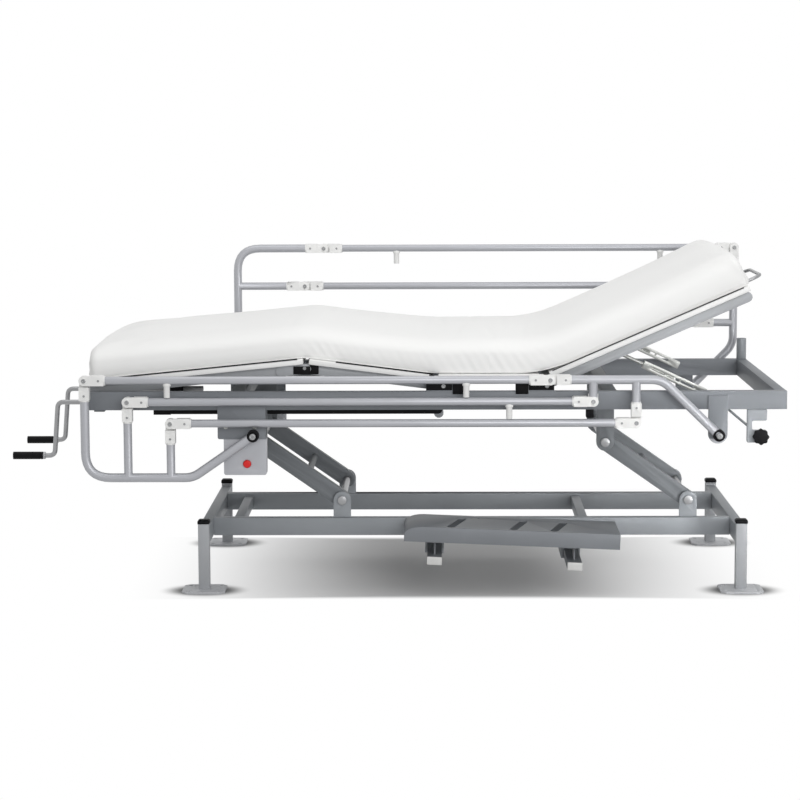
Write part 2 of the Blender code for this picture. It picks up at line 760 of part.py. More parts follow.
def lift_arms():
    foot = axis("foot_arm_axis", (ARM_FOOT_X, 0, ARM_PIVOT_Z))
    head = axis("head_arm_axis", (ARM_HEAD_X, 0, ARM_PIVOT_Z))
    lift_arm("foot", foot, True)
    lift_arm("head", head, False)


# Bed frame


def fold_bracket(outline, side):
    """A plate on the rail's outer face that carries one pivot of a side rail."""
    return plate(outline, side * (SIDE_Y - FIT), side * (SIDE_Y + BRACKET_THICK))


def foot_bracket(side):
    right = RAIL_FOOT_X + FOOT_BRACKET_RIGHT
    low = (right - FOOT_BRACKET_WIDE, RAIL_PIVOT_Z - FOOT_BRACKET_DROP)
    high = (right, RAIL_TOP_Z - BRACKET_TOP_INSET)
    return fold_bracket(rounded(rectangle(low, high), FOOT_BRACKET_ROUND), side)


def head_bracket(side):
    radius = HEAD_BRACKET_WIDE / 2
    top = RAIL_TOP_Z - BRACKET_TOP_INSET
    outline = [(RAIL_HEAD_X + radius, top), (RAIL_HEAD_X - radius, top)]
    outline += arc((RAIL_HEAD_X, RAIL_PIVOT_Z), radius, 180, 360, 12)
    return fold_bracket(outline, side)


def fold_pin(x, side):
    """The pin of a side rail's end frame, with a collar behind it and a head in front."""
    face = SIDE_Y + BRACKET_THICK
    boss = RAIL_PLANE_Y - FITTING_THICK / 2
    front = RAIL_PLANE_Y + FITTING_THICK / 2 + RUN
    pin = cross_rod(x, RAIL_PIVOT_Z, side * (face - BRACKET_THICK / 2), side * (front + FIT), PIVOT_PIN_RADIUS)
    collar = cross_rod(x, RAIL_PIVOT_Z, side * (face - FIT), side * (boss - RUN), PIVOT_HEAD_RADIUS)
    head = cross_rod(x, RAIL_PIVOT_Z, side * front, side * (front + PIVOT_HEAD_THICK), PIVOT_HEAD_RADIUS)
    return [pin, collar, head]


def release_box(side):
    """The box under the foot pivot that holds the release button, and the button's well."""
    face = SIDE_Y + BRACKET_THICK
    right = RAIL_FOOT_X + RELEASE_RIGHT
    top = RAIL_PIVOT_Z - RELEASE_DROP + GUIDE_WALL
    low = RAIL_PIVOT_Z - RELEASE_DROP - RELEASE_TALL
    outline = rounded(rectangle((right - RELEASE_WIDE, low), (right, top)), GUIDE_WALL)
    case = plate(outline, side * (face - RELEASE_DEEP), side * face)
    x, z = RAIL_FOOT_X + BUTTON_OFFSET, RAIL_PIVOT_Z - BUTTON_DROP
    floor = face + BUTTON_PROUD - BUTTON_LENGTH - BUTTON_TRAVEL - RUN
    well = cross_rod(x, z, side * floor, side * (face + BUTTON_PROUD), BUTTON_RADIUS + RUN)
    return case, well


def release_button(side_name, side):
    face = SIDE_Y + BRACKET_THICK + BUTTON_PROUD
    x, z = RAIL_FOOT_X + BUTTON_OFFSET, RAIL_PIVOT_Z - BUTTON_DROP
    holder = axis(f"release_axis_{side_name}", (x, side * face, z))
    cap = cross_rod(0, 0, -side * BUTTON_LENGTH, 0, BUTTON_RADIUS)
    part(f"release_button_{side_name}", RED, [cap], parent=holder)


def stay_foot():
    """Where a stay's lower end is pinned, in X and Z."""
    x = BACK_HINGE_X + STAY_PIVOT * math.cos(BACK_ANGLE) + STAY_LENGTH * math.cos(STAY_ANGLE)
    z = SECTION_MID_Z + STAY_PIVOT * math.sin(BACK_ANGLE) - STAY_LENGTH * math.sin(STAY_ANGLE)
    return x, z


def frame_rail(side_name, side):
    """A long rail with the seat's two bearers, the section hinge pins and the side rail's brackets."""
    low_y, high_y = sorted((side * INNER_Y, side * SIDE_Y))
    pieces = [box((FOOT_X, low_y, RAIL_BOTTOM_Z), (HEAD_X, high_y, RAIL_TOP_Z))]
    thigh_bearer = (THIGH_HINGE_X - BEARER_OVERHANG, THIGH_HINGE_X + BEARER_REACH)
    back_bearer = (BACK_HINGE_X - BEARER_REACH, BACK_HINGE_X + BEARER_OVERHANG)
    for start, end in (thigh_bearer, back_bearer):
        bearer_low = (start, low_y, RAIL_TOP_Z - FIT)
        bearer_high = (end, high_y, SECTION_MID_Z + SECTION_TALL / 2)
        pieces.append(box(bearer_low, bearer_high))
    pin_root = side * (INNER_Y + RAIL_WIDE / 2)
    pin_tip = side * (SECTION_HALF_WIDTH - SECTION_WIDE - RUN)
    for x in (THIGH_HINGE_X, BACK_HINGE_X):
        pieces.append(cross_rod(x, SECTION_MID_Z, pin_root, pin_tip, HINGE_PIN_RADIUS))
    x, z = stay_foot()
    stay_tip = side * (STAY_Y + CHANNEL_WIDE / 2 + RUN)
    pieces.append(cross_rod(x, z, pin_root, stay_tip, STAY_PIN_RADIUS))
    pieces.append(foot_bracket(side))
    pieces.append(head_bracket(side))
    pieces += fold_pin(RAIL_FOOT_X, side) + fold_pin(RAIL_HEAD_X, side)
    case, well = release_box(side)
    part(f"frame_rail_{side_name}", PAINT, [*pieces, case], [well])


def frame_head_tube():
    reach = INNER_Y - FIT
    tube = box((HEAD_X - RAIL_WIDE, -reach, RAIL_BOTTOM_Z), (HEAD_X, reach, RAIL_TOP_Z))
    part("frame_head_tube", PAINT, [tube])


def frame_foot_tube():
    """The end tube that both crank shafts turn in."""
    reach = INNER_Y - FIT
    low, top = RAIL_BOTTOM_Z, RAIL_TOP_Z - FOOT_TUBE_DROP
    pieces = [box((FOOT_X, -reach, low), (FOOT_X + RAIL_WIDE, reach, top))]
    half = FOOT_LUG_WIDE / 2
    holes = []
    for _, side in SIDES:
        y = side * CRANK_Y
        lug = (FOOT_X, y - half, low - FOOT_LUG_DROP), (FOOT_X + RAIL_WIDE, y + half, (low + top) / 2)
        pieces.append(box(*lug))
        start, end = (FOOT_X - RAIL_WIDE, y, CRANK_Z), (FOOT_X + 2 * RAIL_WIDE, y, CRANK_Z)
        holes.append(rod(start, end, SCREW_RADIUS + RUN))
    part("frame_foot_tube", DARK_PAINT, pieces, holes)


def frame_cross_bar(end_name, pivot_x, top_wide):
    """A cross bar with two lugs that hang down to a lift arm's upper pivot."""
    radius = LUG_WIDE / 2
    top = RAIL_TOP_Z - CROSS_BAR_DROP
    left, right = pivot_x + radius - top_wide, pivot_x + radius
    middle = (left + right) / 2
    half = CROSS_BAR_SIDE / 2
    reach = INNER_Y - FIT
    pieces = [box((middle - half, -reach, top - CROSS_BAR_SIDE), (middle + half, reach, top))]
    shoulder = RAIL_BOTTOM_Z - radius
    outline = [(right, UPPER_PIVOT_Z), (right, top - half), (left, top - half), (left, shoulder)]
    outline += arc((pivot_x, UPPER_PIVOT_Z), radius, 180, 345, 10)
    hole = circle((pivot_x, UPPER_PIVOT_Z), SHAFT_RADIUS + FIT)
    for _, side in SIDES:
        pieces.append(plate(outline, side * LUG_INNER_Y, side * LUG_OUTER_Y, [hole]))
    part(f"frame_cross_bar_{end_name}", DARK_PAINT, pieces)


def pole_socket():
    """An open tube that stands on the far head corner."""
    y = SIDE_Y - RAIL_WIDE / 2
    x = HEAD_X - RAIL_WIDE / 2
    low = RAIL_TOP_Z + FIT
    tube = rod((x, y, low), (x, y, low + SOCKET_TALL), SOCKET_RADIUS)
    bore = rod((x, y, low - FIT), (x, y, low + 2 * SOCKET_TALL), SOCKET_BORE)
    part("pole_socket", PAINT, [tube], [bore])


def clamp_place():
    """The clamp's right edge and top, and the place of its screw."""
    right = HEAD_X - CLAMP_FROM_HEAD
    top = RAIL_BOTTOM_Z - FIT
    lobe = CLAMP_TALL - CLAMP_SLOT_DROP - CLAMP_SLOT_TALL
    return right, top, (right - lobe / 2, top - CLAMP_TALL + lobe / 2)


def clamp_bracket():
    """A hooked plate under the near rail, open towards the head end."""
    right, top, screw = clamp_place()
    left, low = right - CLAMP_WIDE, top - CLAMP_TALL
    slot_top = top - CLAMP_SLOT_DROP
    slot_low = slot_top - CLAMP_SLOT_TALL
    root = right - CLAMP_SLOT_DEEP
    outline = [
        (left, low), (right, low), (right, slot_low), (root, slot_low),
        (root, slot_top), (right, slot_top), (right, top), (left, top),
    ]
    middle = -(SIDE_Y - RAIL_WIDE / 2)
    hole = circle(screw, CLAMP_SCREW_RADIUS + RUN, SMALL_ROUND)
    bracket = plate(rounded(outline, 0.005), middle - CLAMP_THICK / 2, middle + CLAMP_THICK / 2, [hole])
    part("clamp_bracket", PAINT, [bracket])


def clamp_screw():
    """A lobed knob on a screw through the bracket, with a nut behind it."""
    _, _, screw = clamp_place()
    half = CLAMP_THICK / 2 + RUN
    holder = axis("clamp_axis", (screw[0], -(SIDE_Y - RAIL_WIDE / 2), screw[1]))
    outline = []
    for i in range(4 * KNOB_LOBES):
        turn = 2 * math.pi * i / (4 * KNOB_LOBES)
        radius = KNOB_RADIUS + KNOB_LOBE_DEPTH * math.cos(KNOB_LOBES * turn)
        outline.append((radius * math.cos(turn), radius * math.sin(turn)))
    knob = plate(outline, -half - KNOB_THICK, -half)
    shank = cross_rod(0, 0, -half - KNOB_THICK / 2, half + CLAMP_NUT_THICK / 2, CLAMP_SCREW_RADIUS, SMALL_ROUND)
    nut = cross_rod(0, 0, half, half + CLAMP_NUT_THICK, CLAMP_NUT_RADIUS, 6)
    part("clamp_screw", BLACK, [knob, shank, nut], parent=holder)


def bed_frame():
    for side_name, side in SIDES:
        frame_rail(side_name, side)
        release_button(side_name, side)
    frame_head_tube()
    frame_foot_tube()
    frame_cross_bar("foot", ARM_FOOT_X - ARM_RUN, FOOT_LUG_TOP_WIDE)
    frame_cross_bar("head", ARM_HEAD_X - ARM_RUN, LUG_WIDE)
    pivot_shaft("upper_shaft_foot", ARM_FOOT_X - ARM_RUN, UPPER_PIVOT_Z)
    pivot_shaft("upper_shaft_head", ARM_HEAD_X - ARM_RUN, UPPER_PIVOT_Z)
    pole_socket()
    clamp_bracket()
    clamp_screw()


# Platform sections, each about its own hinge with the section lying flat


def section_tubes(start, end, pin_holes):
    """Two side tubes with round ends and two cross tubes; the side tubes have a hole at each hinge."""
    low, high = -SECTION_TALL / 2, SECTION_TALL / 2
    pieces = []
    cuts = []
    for _, side in SIDES:
        near, far = sorted((side * (SECTION_HALF_WIDTH - SECTION_WIDE), side * SECTION_HALF_WIDTH))
        pieces.append(plate(capsule((start + high, 0), (end - high, 0), high), near, far))
        for x in pin_holes:
            cuts.append(cross_rod(x, 0, near - 3 * RUN, far + 3 * RUN, HINGE_PIN_RADIUS + RUN))
    for x in (start + SECTION_WIDE, end - SECTION_WIDE):
        half = SECTION_WIDE / 2
        pieces.append(box((x - half, -SECTION_Y, low), (x + half, SECTION_Y, high)))
    return pieces, cuts


def panel(name, start, end, parent):
    half = PANEL_HALF_WIDTH
    sheet = box((start, -half, PANEL_LOW), (end, half, PANEL_HIGH))
    part(name, PANEL, [sheet], parent=parent)


def mattress(name, start, end, start_mitre, end_mitre, parent):
    """A soft block with a crowned top and drawn-in sides; its ends lean back by the mitres."""
    bm = bmesh.new()
    bmesh.ops.create_cube(bm, size=2)
    bmesh.ops.subdivide_edges(bm, edges=bm.edges, cuts=3, use_grid_fill=True)
    low = PANEL_HIGH + FIT
    for vertex in bm.verts:
        u, v, w = (math.copysign(abs(c) ** EDGE_CROWDING, c) for c in vertex.co)
        rise = MATTRESS_THICK * (w + 1) / 2
        lift = low + rise
        left = start + lift * math.tan(start_mitre)
        right = end - lift * math.tan(end_mitre)
        x = (left + right) / 2 + u * (right - left) / 2
        y = v * (MATTRESS_HALF_WIDTH - MATTRESS_DRAW * w * w)
        crown = MATTRESS_CROWN * (1 - u ** 4) * (1 - v ** 4) * (w + 1) / 2
        vertex.co = (x, y, lift + crown)
    obj = from_bmesh(bm)
    edge = obj.modifiers.new("soft", "SUBSURF")
    edge.levels = 1
    edge.render_levels = 1
    part(name, COVER, [obj], parent=parent)
    obj.data.shade_smooth()


def back_section():
    hinge = axis("back_axis", (BACK_HINGE_X, 0, SECTION_MID_Z), -BACK_ANGLE)
    start, end = -SECTION_TALL / 2, BACK_LENGTH
    pieces, cuts = section_tubes(start, end, [0])
    pin_root = SECTION_HALF_WIDTH - SECTION_WIDE / 2
    for _, side in SIDES:
        tip = side * (STAY_Y - STAY_EYE_THICK / 2)
        pieces.append(cross_rod(STAY_PIVOT, 0, side * pin_root, tip, STAY_PIN_RADIUS))
    part("back_frame", PAINT, pieces, cuts, parent=hinge)
    panel("back_panel", PANEL_GAP + PANEL_HIGH * math.tan(BACK_MITRE), end, hinge)
    mattress("back_mattress", MATTRESS_GAP, end, BACK_MITRE, 0, hinge)
    back_handle(end, hinge)


def back_handle(end, hinge):
    """A bent rod loop at the head end, to lift the backrest by."""
    half = HANDLE_WIDTH / 2
    root = end + FIT
    z = SECTION_TALL / 2 - HANDLE_RADIUS
    path = [(root, -half, z), (end + HANDLE_REACH, -half, z), (end + HANDLE_REACH, half, z), (root, half, z)]
    part("back_handle", PAINT, [pipe(rounded(path, HANDLE_BEND, False), HANDLE_RADIUS)], parent=hinge)


def seat_section():
    holder = axis("seat_axis", (0, 0, SECTION_MID_Z))
    start = THIGH_HINGE_X + PANEL_GAP + PANEL_HIGH * math.tan(THIGH_MITRE)
    end = BACK_HINGE_X - PANEL_GAP - PANEL_HIGH * math.tan(BACK_MITRE)
    panel("seat_panel", start, end, holder)
    mattress(
        "seat_mattress", THIGH_HINGE_X + MATTRESS_GAP, BACK_HINGE_X - MATTRESS_GAP, THIGH_MITRE, BACK_MITRE, holder
    )


def thigh_section():
    hinge = axis("thigh_axis", (THIGH_HINGE_X, 0, SECTION_MID_Z), THIGH_ANGLE)
    end = SECTION_TALL / 2
    pieces, cuts = section_tubes(-THIGH_LENGTH - end, end, [0])
    for _, side in SIDES:
        root = side * (SECTION_HALF_WIDTH - SECTION_WIDE / 2)
        tip = side * (SECTION_HALF_WIDTH + RUN + KNEE_PLATE_THICK)
        pieces.append(cross_rod(-THIGH_LENGTH, 0, root, tip, HINGE_PIN_RADIUS, SMALL_ROUND))
    pieces.append(thigh_lever())
    part("thigh_frame", PAINT, pieces, cuts, parent=hinge)
    start = -THIGH_LENGTH + PANEL_GAP
    panel("thigh_panel", start, -PANEL_GAP - PANEL_HIGH * math.tan(THIGH_MITRE), hinge)
    mattress("thigh_mattress", -THIGH_LENGTH + MATTRESS_GAP, -MATTRESS_GAP, 0, THIGH_MITRE, hinge)
    return axis("knee_axis", (-THIGH_LENGTH, 0, 0), -THIGH_ANGLE - FOOT_SLOPE, hinge)


def thigh_lever():
    """A slotted lever that hangs from the thigh frame's hinge end."""
    lean = KNEE_LEVER_LEAN + THIGH_ANGLE
    down = (math.sin(lean), -math.cos(lean))
    near_end, far_end = KNEE_LEVER - RUN - KNEE_SLOT_TRAVEL / 3, KNEE_LEVER + KNEE_SLOT_TRAVEL
    at = [(down[0] * reach, down[1] * reach) for reach in (near_end, far_end, far_end + ROD_PIN_RADIUS)]
    outline = capsule((-SECTION_WIDE / 2, 0), at[2], LEVER_HALF_WIDE)
    slot = capsule(at[0], at[1], ROD_PIN_RADIUS + 2 * RUN)
    face = -CRANK_Y + ROD_THICK / 2 + RUN
    return plate(outline, face, face + ROD_THICK, [slot])


def foot_section(knee):
    start = -FOOT_LENGTH
    end = -SECTION_TALL / 2 - SECTION_WIDE
    pieces, cuts = section_tubes(start, end, [])
    radius = SECTION_TALL / 2
    hole = circle((0, 0), HINGE_PIN_RADIUS + RUN, SMALL_ROUND)
    for _, side in SIDES:
        inner = side * (SECTION_HALF_WIDTH + RUN)
        outer = side * (SECTION_HALF_WIDTH + RUN + KNEE_PLATE_THICK)
        pieces.append(plate(capsule((-KNEE_PLATE_LENGTH, 0), (0, 0), radius), inner, outer, [hole]))
        weld = sorted((side * (SECTION_HALF_WIDTH - RUN), outer))
        pieces.append(box((-KNEE_PLATE_LENGTH, weld[0], -radius / 2), (end - RUN, weld[1], radius / 2)))
    part("foot_frame", PAINT, pieces, cuts, parent=knee)
    panel("foot_panel", start, -PANEL_GAP, knee)
    mattress("foot_mattress", start, -MATTRESS_GAP, 0, 0, knee)


# Backrest stays


def stays():
    x = BACK_HINGE_X + STAY_PIVOT * math.cos(BACK_ANGLE)
    z = SECTION_MID_Z + STAY_PIVOT * math.sin(BACK_ANGLE)
    for side_name, side in SIDES:
        pivot = axis(f"stay_axis_{side_name}", (x, side * STAY_Y, z), STAY_ANGLE)
        stay_rod(side_name, pivot)
        stay_channel(side_name, pivot)


def stay_rod(side_name, pivot):
    half = STAY_EYE_THICK / 2
    eye = plate(circle((0, 0), STAY_EYE_RADIUS), -half, half, [circle((0, 0), STAY_PIN_RADIUS + RUN, SMALL_ROUND)])
    shank = rod((STAY_EYE_RADIUS - RUN, 0, 0), (STAY_ROD_LENGTH, 0, 0), STAY_ROD_RADIUS, SMALL_ROUND)
    part(f"stay_rod_{side_name}", ZINC, [eye, shank], parent=pivot)


def stay_channel(side_name, pivot):
    """A square sleeve with slotted sides that the rod runs in."""
    tall, wide = CHANNEL_TALL / 2, CHANNEL_WIDE / 2
    end = STAY_LENGTH + tall
    start = STAY_LENGTH - CHANNEL_LENGTH
    slots = []
    for share in (0.25, 0.5, 0.75):
        middle = start + CHANNEL_LENGTH * share
        slots.append(
            capsule((middle - CHANNEL_SLOT_LENGTH / 2, 0), (middle + CHANNEL_SLOT_LENGTH / 2, 0), CHANNEL_SLOT_RADIUS, 4)
        )
    sleeve = plate(rectangle((start, -tall), (end, tall)), -wide, wide, slots)
    bore = rod((start - tall, 0, 0), (STAY_LENGTH - tall, 0, 0), STAY_ROD_RADIUS + RUN, SMALL_ROUND)
    part(f"stay_channel_{side_name}", ZINC, [sleeve], [bore], parent=pivot)


# Cranks, screws and their rods


def crank(name, side, neck, reach):
    """A bent handle whose shaft runs through the foot tube and carries on as a screw."""
    y = side * CRANK_Y
    holder = axis(f"{name}_axis", (FOOT_X, y, CRANK_Z))
    grip_face = -reach + GRIP_LENGTH
    path = [
        (RAIL_WIDE / 2, 0, 0),
        (-neck, 0, 0),
        (-neck - CRANK_ARM_LEAN, 0, -CRANK_THROW),
        (-reach + GRIP_END + RUN, 0, -CRANK_THROW),
    ]
    pieces = [pipe(rounded(path, CRANK_BEND, False), CRANK_RADIUS)]
    pieces.append(rod((-COLLAR_THICK, 0, 0), (SCREW_LENGTH, 0, 0), SCREW_RADIUS))
    pieces.append(rod((-RUN - COLLAR_THICK, 0, 0), (-RUN, 0, 0), COLLAR_RADIUS))
    inside = RAIL_WIDE + RUN
    pieces.append(rod((inside, 0, 0), (inside + COLLAR_THICK, 0, 0), COLLAR_RADIUS))
    stop = grip_face + RUN
    pieces.append(rod((stop, 0, -CRANK_THROW), (stop + CRANK_RADIUS, 0, -CRANK_THROW), GRIP_RADIUS - FIT))
    part(name, STEEL, pieces, parent=holder)
    grip_axis = axis(f"{name}_grip_axis", (0, 0, -CRANK_THROW), parent=holder)
    body = rod((-reach, 0, 0), (grip_face, 0, 0), GRIP_RADIUS)
    bore = rod((-reach + GRIP_END, 0, 0), (grip_face + GRIP_END, 0, 0), CRANK_RADIUS + RUN, SMALL_ROUND)
    part(f"{name}_grip", BLACK, [body], [bore], parent=grip_axis)


def push_rod(name, side, nut_x, pin_x, pin_z, bar_inner, bar_outer, pin_tip):
    """A nut on a screw with a flat bar to the pin that works a lever."""
    y = side * CRANK_Y
    half = NUT_SIDE / 2
    tall = ROD_TALL / 2
    nut_low = min(CRANK_Z - half, pin_z - tall)
    nut = box((nut_x - NUT_LENGTH / 2, y - half, nut_low), (nut_x + NUT_LENGTH / 2, y + half, CRANK_Z + half))
    bar = plate(capsule((nut_x, pin_z), (pin_x, pin_z), tall), bar_inner, bar_outer)
    pin = cross_rod(pin_x, pin_z, (bar_inner + bar_outer) / 2, pin_tip, ROD_PIN_RADIUS, SMALL_ROUND)
    bore = rod((nut_x - NUT_LENGTH, y, CRANK_Z), (pin_x, y, CRANK_Z), SCREW_RADIUS + RUN)
    part(name, DARK_PAINT, [nut, bar, pin], [bore])


def drives():
    crank("knee_crank", -1, CRANK_NECK, KNEE_CRANK_REACH)
    crank("lift_crank", 1, LIFT_CRANK_NECK, CRANK_REACH)
    bar = -CRANK_Y - ROD_THICK / 2, -CRANK_Y + ROD_THICK / 2
    push_rod(
        "knee_rod", -1, NUT_X, KNEE_PIN_X, KNEE_ROD_Z, *bar, bar[1] + ROD_THICK + 3 * RUN
    )
    lever_face = ARM_Y - ARM_WIDE / 2 - LEVER_THICK + RUN
    bar = lever_face - RUN - ROD_THICK, lever_face - RUN
    push_rod(
        "lift_rod", 1, NUT_X, LIFT_PIN_X, LIFT_ROD_Z, *bar, lever_face + LEVER_THICK - 2 * RUN
    )


# Side rails, about the end frame's pivot with the rail folded down


def knuckle(point, direction, half, boxed):
    """One half of a hinge fitting at a point, with its body along a direction."""
    x, z = point
    dx, dz = direction
    thick = FITTING_THICK / 2
    low, high = sorted((half * RUN / 2, half * thick))
    tongue = capsule(point, (x + dx * FITTING_START, z + dz * FITTING_START), KNUCKLE_RADIUS)
    pieces = [plate(tongue, low, high)]
    if boxed:
        side = FITTING_SIDE / 2
        near = (x + dx * FITTING_START, z + dz * FITTING_START)
        far = (x + dx * FITTING_END, z + dz * FITTING_END)
        across = (abs(dz) * side, abs(dx) * side)
        corner = (min(near[0], far[0]) - across[0], min(near[1], far[1]) - across[1])
        other = (max(near[0], far[0]) + across[0], max(near[1], far[1]) + across[1])
        pieces.append(plate(rectangle(corner, other), -thick, thick))
    return pieces


def pivot_boss():
    half = FITTING_THICK / 2
    boss = cross_rod(0, 0, -half, half, PIVOT_BOSS_RADIUS)
    hole = cross_rod(0, 0, -2 * half, 2 * half, PIVOT_PIN_RADIUS + RUN)
    return boss, hole


def foot_end_frame(name, inner, holder):
    """A bent tube from the top fitting down, along and up to the pivot, with two posts."""
    top = FOLD_POINTS[0]
    path = [
        (top[0], 0, top[1] - FITTING_END + END_RADIUS),
        (top[0], 0, -END_DROP),
        (-END_KNEE, 0, -END_DROP),
        (0, 0, 0),
    ]
    boss, hole = pivot_boss()
    pieces = [pipe(rounded(path, END_BEND, False), END_RADIUS), boss]
    for x, z in FOLD_POINTS[1:]:
        pieces.append(rod((x, 0, z - FITTING_END + END_RADIUS), (x, 0, -END_DROP), POST_RADIUS, SMALL_ROUND))
    for point in FOLD_POINTS:
        pieces += knuckle(point, (0, -1), inner, True)
    part(name, PAINT, pieces, [hole], parent=holder)


def head_end_frame(name, inner, holder):
    """A bent tube from the top fitting along and down to the pivot, with two posts."""
    top = FOLD_POINTS[0]
    path = [
        (top[0] + FITTING_END - END_RADIUS, 0, top[1]),
        (-HEAD_KNEE, 0, top[1]),
        (0, 0, 0),
    ]
    boss, hole = pivot_boss()
    pieces = [pipe(rounded(path, END_BEND, False), END_RADIUS), boss]
    for (x, z), boxed in zip(FOLD_POINTS[1:], (False, True)):
        root = FITTING_END - END_RADIUS if boxed else KNUCKLE_RADIUS + END_RADIUS / 2
        pieces.append(rod((x, 0, z + root), (x, 0, top[1]), POST_RADIUS, SMALL_ROUND))
        pieces += knuckle((x, z), (0, 1), inner, boxed)
    pieces += knuckle(top, (1, 0), inner, True)
    part(name, PAINT, pieces, [hole], parent=holder)


def rail_bar(name, inner, holder, spacers, spacer_drop):
    """A bar between two fittings, with spacer pegs under it on the upper two bars."""
    start, end = FITTING_END - END_RADIUS, RAIL_SPAN - FITTING_END + END_RADIUS
    pieces = [rod((start, 0, 0), (end, 0, 0), BAR_RADIUS, SMALL_ROUND)]
    pieces += knuckle((0, 0), (1, 0), -inner, True)
    pieces += knuckle((RAIL_SPAN, 0), (-1, 0), -inner, True)
    for place in spacers:
        pieces.append(rod((place, 0, -spacer_drop), (place, 0, -BAR_RADIUS / 2), SPACER_RADIUS, SMALL_ROUND))
    part(name, PAINT, pieces, parent=holder)


def turned(point, angle):
    """A point in X and Z after a turn about Y."""
    x, z = point
    return (x * math.cos(angle) + z * math.sin(angle), z * math.cos(angle) - x * math.sin(angle))


def side_rail(side_name, side, turn):
    y = side * RAIL_PLANE_Y
    foot = axis(f"rail_foot_axis_{side_name}", (RAIL_FOOT_X, y, RAIL_PIVOT_Z), turn)
    head = axis(f"rail_head_axis_{side_name}", (RAIL_HEAD_X, y, RAIL_PIVOT_Z), turn)
    foot_end_frame(f"rail_foot_frame_{side_name}", -side, foot)
    head_end_frame(f"rail_head_frame_{side_name}", -side, head)
    drop = (TOP_RISE - LOW_RISE) / 2 - BAR_RADIUS - RUN
    spacers = ((SPACER_FOOT_AT, SPACER_HEAD_AT), (SPACER_HEAD_AT,), ())
    for label, point, places in zip(FOLD_NAMES, FOLD_POINTS, spacers):
        x, z = turned(point, turn)
        pivot = axis(f"rail_{label}_axis_{side_name}", (RAIL_FOOT_X + x, y, RAIL_PIVOT_Z + z))
        rail_bar(f"rail_{label}_bar_{side_name}", -side, pivot, places, drop)


def side_rails():
    side_rail("near", -1, 0)
    side_rail("far", 1, math.pi / 2)


def main():
    base()
    step()
    lift_arms()
    bed_frame()
    seat_section()
    back_section()
    foot_section(thigh_section())
    stays()
    drives()
    side_rails()
    bpy.data.collections.remove(WORK)


main()
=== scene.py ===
"""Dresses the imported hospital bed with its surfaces, soft pieces and small fittings, and sets its studio."""

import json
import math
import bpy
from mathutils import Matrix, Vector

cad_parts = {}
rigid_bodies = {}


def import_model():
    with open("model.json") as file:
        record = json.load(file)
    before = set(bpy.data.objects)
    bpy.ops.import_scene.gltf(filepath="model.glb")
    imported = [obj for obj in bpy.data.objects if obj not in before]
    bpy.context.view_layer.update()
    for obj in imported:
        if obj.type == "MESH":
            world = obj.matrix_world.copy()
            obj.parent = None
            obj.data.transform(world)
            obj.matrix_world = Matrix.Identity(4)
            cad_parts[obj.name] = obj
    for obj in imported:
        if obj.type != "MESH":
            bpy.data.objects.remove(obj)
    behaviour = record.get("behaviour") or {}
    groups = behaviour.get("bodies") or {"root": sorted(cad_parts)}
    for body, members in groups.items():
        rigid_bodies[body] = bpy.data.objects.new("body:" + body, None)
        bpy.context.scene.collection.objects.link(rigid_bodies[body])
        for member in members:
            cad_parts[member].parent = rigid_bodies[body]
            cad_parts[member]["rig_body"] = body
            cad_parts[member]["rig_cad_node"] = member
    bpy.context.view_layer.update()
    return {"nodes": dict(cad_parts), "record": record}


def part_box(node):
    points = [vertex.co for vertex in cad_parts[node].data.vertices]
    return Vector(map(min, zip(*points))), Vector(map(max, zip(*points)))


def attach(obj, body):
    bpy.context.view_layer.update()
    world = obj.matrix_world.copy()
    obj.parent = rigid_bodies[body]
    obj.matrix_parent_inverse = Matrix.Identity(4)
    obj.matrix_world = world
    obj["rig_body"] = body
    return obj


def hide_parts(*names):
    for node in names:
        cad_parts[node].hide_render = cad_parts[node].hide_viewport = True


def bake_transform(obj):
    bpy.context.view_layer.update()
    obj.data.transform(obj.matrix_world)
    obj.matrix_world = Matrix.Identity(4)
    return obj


bl_info = {
    "name": "Hospital bed dressing",
    "version": (1, 0, 0),
    "blender": (4, 5, 0),
    "location": "View3D > Sidebar > Bed",
    "description": "Dresses a cranked hospital bed and sets up its studio",
    "category": "Object",
}

import bpy
from mathutils import Matrix, Vector, noise

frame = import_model()

NODES = frame["nodes"]
BODY_OF = {node: body for body, members in frame["record"]["behaviour"]["bodies"].items() for node in members}
SIDES = (("near", -1), ("far", 1))

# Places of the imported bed, in metres
FOOT_X = -0.845
CRANK_Y = 0.170
CRANK_Z = 0.510
CRANK_THROW = 0.155
CRANK_ARM_LEAN = 0.012
CRANK_NECKS = {"knee_crank": 0.108, "lift_crank": 0.130}
CRANK_REACHES = {"knee_crank": 0.240, "lift_crank": 0.256}
CRANK_START = 0.015
CRANK_END = 0.0066
CRANK_BEND = 0.018
CRANK_RADIUS = 0.007
CRANK_COLLAR_RADIUS = 0.014
CRANK_COLLARS = ((-0.0126, -0.0006), (0.0306, 0.0426))
SCREW_RADIUS = 0.008
SCREW_START = -0.010
GRIP_RADIUS = 0.011
GRIP_LENGTH = 0.086
GRIP_GROOVE = (-0.008, -0.0065)
GRIP_GROOVE_DEPTH = 0.0012
GRIP_STOP = (0.0006, 0.0076)  # from the grip's inner face
SECTION_AXIS_Z = 0.5855
THIGH_HINGE_X = 0.128
BACK_HINGE_X = 0.441
BACK_ANGLE = math.radians(23.5)
THIGH_ANGLE = math.radians(7.2)
FOOT_SLOPE = math.radians(5.7)
THIGH_LENGTH = 0.355
FOOT_LENGTH = 0.610
BACK_LENGTH = 0.617
PANEL_TOP = 0.0293
PANEL_EDGE = 0.0025
RAIL_PLANE_Y = 0.482
RAIL_FOOT = (-0.368, 0.452)
RAIL_HEAD = (0.911, 0.452)
RAIL_SPAN = 1.279
FOLD_POINTS = ((-0.4626, 0.154), (-0.3448, 0.0945), (-0.227, 0.035))
FOLD_NAMES = ("top", "middle", "bottom")
END_DROP = 0.1156
